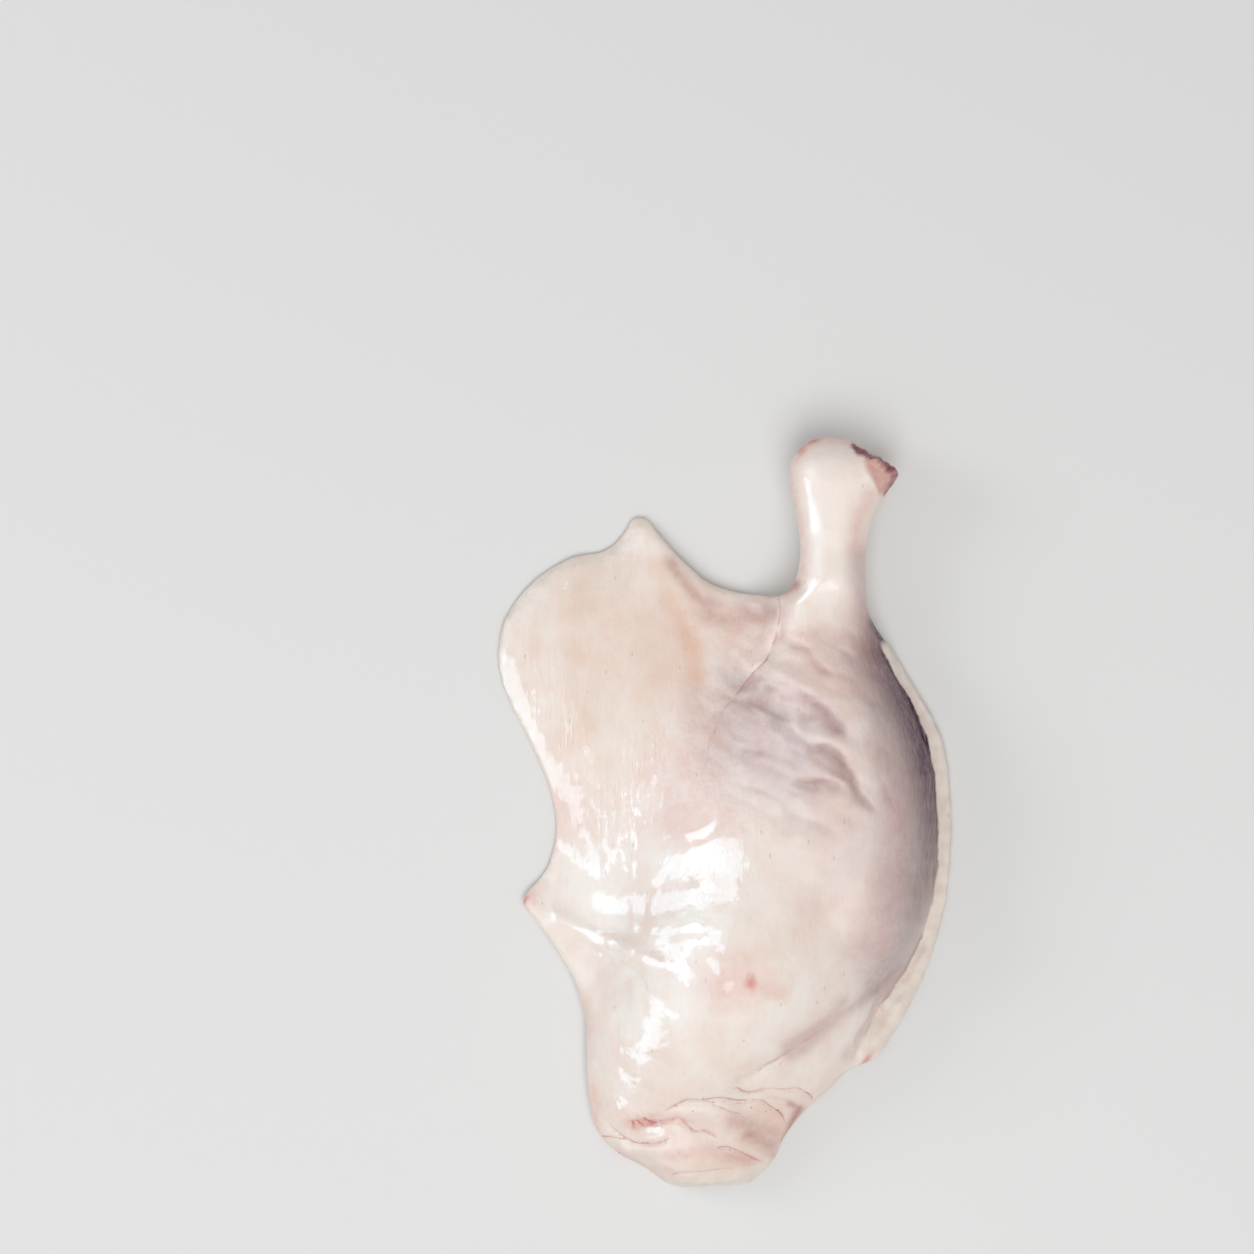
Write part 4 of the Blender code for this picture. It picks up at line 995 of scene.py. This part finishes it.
def rawSkin():
    # raw plucked duck skin: thin, wet and cloudy over a layer of fat, so light sinks in and
    # comes out softened; it gives the eye a pale pinkish cream under a sharp wet shine
    material = newMaterial("raw plucked duck skin")
    tree = material.node_tree
    at = addFields(tree, [*skinTints, "paintedHollowShade", "fat", "flesh", "tendon", "wet", "crinkle", "nearMuscle",
                          "under", "creaseGap", "creaseTone", "dotGap"])
    place = at["place"]
    at["lengthwise"] = addNode(tree, "Mapping", {"Vector": place, "Scale": (1.0, 0.19, 1.0)})[0]
    at["rootPlace"] = addNode(tree, "Mapping", {"Vector": place, "Scale": (1.0, 0.32, 1.0)})[0]
    at["slanting"] = addNode(tree, "Mapping", {
        "Vector": place, "Rotation": (0.0, 0.0, math.radians(25.0)), "Scale": (3.0, 1.0, 1.0),
    }, vector_type="TEXTURE")[0]
    addGrains(tree, at, skinGrains)
    for name, where, size in [("lobe", "place", 4.0), ("root", "rootPlace", 2.4)]:
        cells = addNode(tree, "TexVoronoi", {"Vector": at[where], "Scale": 1000 / size})
        at[name] = cells["Distance"]
        at[name + "Chance"] = addNode(tree, "SeparateColor", {"Color": cells["Color"]})["Red"]
    at["rareRoot"] = addNode(tree, "Math", {0: at["rootChance"], 1: 0.7}, operation="GREATER_THAN")[0]
    at["crinkled"] = addNode(tree, "Math", {0: at["streak"], 1: at["crinkle"]}, operation="MULTIPLY")[0]
    swing = addNode(tree, "Math", {0: at["streak"], 1: 0.5}, operation="SUBTRACT")[0]
    at["slack"] = addNode(tree, "Math", {0: swing, 1: at["crinkle"]}, operation="MULTIPLY")[0]
    addMasks(tree, at, skinMasks)
    colour = layColours(tree, at, "#f8eee6", [("warmer", "#f2e0d5")])
    colour = addNode(tree, "Mix", {
        0: at["streaky"], 6: colour, 7: "#eadbd5",
    }, data_type="RGBA", blend_type="MULTIPLY")[2]
    for name, tint, most, grain, share in skinLayers:
        patchy = addNode(tree, "Math", {
            0: at[grain], 1: 4.0 * share * most, 2: most * (1.0 - 2.0 * share),
        }, operation="MULTIPLY_ADD")[0]
        at["layer"] = addNode(tree, "Math", {0: at[name], 1: patchy}, operation="MULTIPLY", use_clamp=True)[0]
        colour = layColours(tree, at, colour, [("layer", tint)])
    fat = layColours(tree, at, "#eee4da", [
        ("lobeGap", "#e7dacf"), ("membrane", "#dcb7b0"), ("speck", "#a9695a"),
    ])
    flesh = layColours(tree, at, "#f0cbbb", [("mottle", "#c9928d")])
    clot = layColours(tree, at, "#581733", [("redder", "#97415a")])
    colour = layColours(tree, at, colour, [
        ("fleck", "#d9bfc0"), ("fatty", fat), ("flesh", flesh), ("tendon", "#eddfd6"), ("clotted", clot),
        ("crease", "#cb6a5e"), ("rootDot", "#9a8377"), ("bloodDot", "#a3463c"),
    ])
    # the wet film follows the broad lumps, the skin below it also its pores and fine creases
    normal = addNode(tree, "Bump", {"Height": at["lumps"], "Distance": 0.3 * mm})[0]
    reliefs = {}
    for height, deep in [("crinkled", 0.3), ("pebble", 0.08), ("streak", 0.13), ("crease", 0.25)]:
        normal = addNode(tree, "Bump", {
            "Height": at[height], "Distance": deep * mm, "Normal": normal,
        }, invert=height == "crease")[0]
        reliefs[height] = normal
    addShader(tree, {
        "Base Color": colour, "Roughness": 0.44, "Specular IOR Level": 0.2, "Normal": normal,
        "Subsurface Weight": 0.35, "Subsurface Radius": (1.0, 0.55, 0.4), "Subsurface Scale": 2.6 * mm,
        "Coat Weight": at["wetFilm"], "Coat Roughness": 0.035, "Coat IOR": 1.45,
        "Coat Normal": reliefs["crinkled"],
    })
    return material


muscleMasks = {
    "pink": {"of": ["fibres"], "from": 0.3, "to": 0.7, "even": True},
    "blotch": {"of": ["mottle"], "from": 0.45, "to": 0.75, "most": 0.6, "even": True},
    "darkMuscle": {"of": ["dark"], "from": 0.0, "to": 1.0, "most": 0.75, "even": True},
    # painted shade in the gaps between muscles
    "gapShade": {"of": ["gap"], "from": 0.0, "to": 1.0, "most": 0.8, "even": True},
    # membranes: a milky veil, thicker along the fibres, and thin pale seams that wander through the meat
    "seam": {"of": ["seams"], "around": 0.5, "from": 0.03, "to": 0.0, "most": 0.34},
    "veil": {"of": ["membrane", ("mottle", 0.7), ("fibres", 0.6)], "from": 0.95, "to": 1.55, "most": 0.8},
    # fat: ragged cream patches, thin and pink at their edges, with tiny red-brown specks
    "thinFat": {"of": ["fat", ("mottle", 1.0)], "from": 0.68, "to": 1.0, "most": 0.6},
    "thickFat": {"of": ["fat", ("mottle", 1.0)], "from": 0.92, "to": 1.12},
    "tanFat": {"of": ["lobeMottle"], "from": 0.1, "to": 0.45, "even": True},
    "speck": {"of": ["lobe"], "from": 0.13, "to": 0.05, "most": 0.6},
}


def rawMuscle():
    # raw duck muscle: wet dark pink fibre bundles under a thin clear skin of their own, with fat
    # and milky membranes over them; the eye gets fine streaks, pale webs and small sharp shines
    material = newMaterial("raw duck muscle")
    tree = material.node_tree
    at = addFields(tree, ["across", "gap", "fat", "membrane", "dark"])
    addGrains(tree, at, {"mottle": ("place", 5.0, 4.0, 0.6)})
    wander = addNode(tree, "Math", {0: at["mottle"], 1: 2.2}, operation="MULTIPLY")[0]
    along = addNode(tree, "CombineXYZ", {"X": at["across"], "Y": wander})[0]
    at["fibres"] = addNode(tree, "TexNoise", {
        "Vector": along, "Scale": 1.25, "Detail": 4.0, "Roughness": 0.65,
    })["Fac"]
    at["seams"] = addNode(tree, "TexNoise", {
        "Vector": at["place"], "Scale": 1000 / 11.0, "Detail": 4.0, "Roughness": 0.55, "Distortion": 0.4,
    })["Fac"]
    at["lobe"] = addNode(tree, "TexVoronoi", {"Vector": at["place"], "Scale": 1000 / 3.4})["Distance"]
    at["lobeMottle"] = addNode(tree, "Math", {0: at["lobe"], 1: at["mottle"]}, operation="MULTIPLY")[0]
    addMasks(tree, at, muscleMasks)
    at["web"] = addNode(tree, "Math", {0: at["veil"], 1: at["seam"]}, operation="MAXIMUM")[0]
    fat = layColours(tree, at, "#f6ecdf", [("tanFat", "#e6c9b9"), ("speck", "#a8604f")])
    # the dark red in the gaps between muscles is painted shade
    colour = layColours(tree, at, "#b04c59", [
        ("pink", "#dd8f93"), ("blotch", "#983f4c"), ("darkMuscle", "#7c4046"), ("gapShade", "#7a2a36"),
        ("web", "#e9cfca"), ("thinFat", "#dfaea6"), ("thickFat", fat),
    ])
    ridged = addNode(tree, "Bump", {"Height": at["fibres"], "Distance": 0.16 * mm})[0]
    height = addNode(tree, "Math", {0: at["web"], 1: 0.4, 2: at["thickFat"]}, operation="MULTIPLY_ADD")[0]
    raised = addNode(tree, "Bump", {"Height": height, "Distance": 0.25 * mm, "Normal": ridged})[0]
    addShader(tree, {
        "Base Color": colour, "Roughness": 0.38, "Normal": raised, "Subsurface Weight": 0.3,
        "Subsurface Radius": (1.0, 0.4, 0.3), "Subsurface Scale": 2.0 * mm,
        "Coat Weight": 0.7, "Coat Roughness": 0.09,
    })
    return material


def freshBone():
    # fresh bone, sawn off: a thin cream wall round spongy marrow, so the eye sees a pale ring
    # with a dark red, wet and pitted middle
    material = newMaterial("fresh sawn bone")
    tree = material.node_tree
    at = addFields(tree, ["marrow"])
    addGrains(tree, at, {"mottle": ("place", 1.6, 4.0, 0.5)})
    at["sponge"] = addNode(tree, "TexVoronoi", {
        "Vector": at["place"], "Scale": 1000 / 0.8, "Smoothness": 0.5,
    }, feature="SMOOTH_F1")["Distance"]
    marrow = layColours(tree, at, "#7a2429", [("sponge", "#c4736a")])
    colour = layColours(tree, at, "#efe0cf", [("mottle", "#cf9d8c"), ("marrow", marrow)])
    addShader(tree, {
        "Base Color": colour, "Roughness": 0.45, "Subsurface Weight": 0.2,
        "Subsurface Radius": (1.0, 0.6, 0.4), "Subsurface Scale": 1.5 * mm,
        "Normal": addNode(tree, "Bump", {"Height": at["sponge"], "Distance": 0.2 * mm})[0],
        "Coat Weight": 0.6, "Coat Roughness": 0.12,
    })
    return material


def jointCartilage():
    # joint cartilage: smooth, bluish white and milky, with red shreds of ligament at its neck
    material = newMaterial("joint cartilage")
    tree = material.node_tree
    at = addFields(tree, ["neck"])
    addGrains(tree, at, {"mottle": ("place", 3.0, 4.0, 0.6)})
    addMasks(tree, at, {
        "shreds": {"of": ["mottle"], "from": 0.3, "to": 0.6, "even": True, "times": ["neck"]},
    })
    colour = layColours(tree, at, "#f4eee6", [("mottle", "#dcc4bd"), ("shreds", "#b9636a")])
    addShader(tree, {
        "Base Color": colour, "Roughness": 0.28, "Subsurface Weight": 0.4,
        "Subsurface Radius": (1.0, 0.8, 0.7), "Subsurface Scale": 2.0 * mm,
        "Normal": addNode(tree, "Bump", {"Height": at["mottle"], "Distance": 0.15 * mm})[0],
        "Coat Weight": 0.5, "Coat Roughness": 0.14,
    })
    return material


addCamera()
addStudio()
print("camera and studio set")
pieces = [
    (shapeSkin, rawSkin, "skin", "skin"),
    (shapeMeat, rawMuscle, "meat", "meat"),
    (shapeBoneEnd, freshBone, "shin_bone", "bone"),
    (shapeHipBall, jointCartilage, "hip_joint_ball", "cartilage"),
]
for shape, finish, nodeName, slotName in pieces:
    piece = shape()
    piece.data.materials.append(finish())
    piece.data.shade_smooth()
    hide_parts(nodeName)
    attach(piece, "root")
    triangles = sum(len(face.vertices) - 2 for face in piece.data.polygons)
    print(piece.name, "made,", triangles, "triangles")
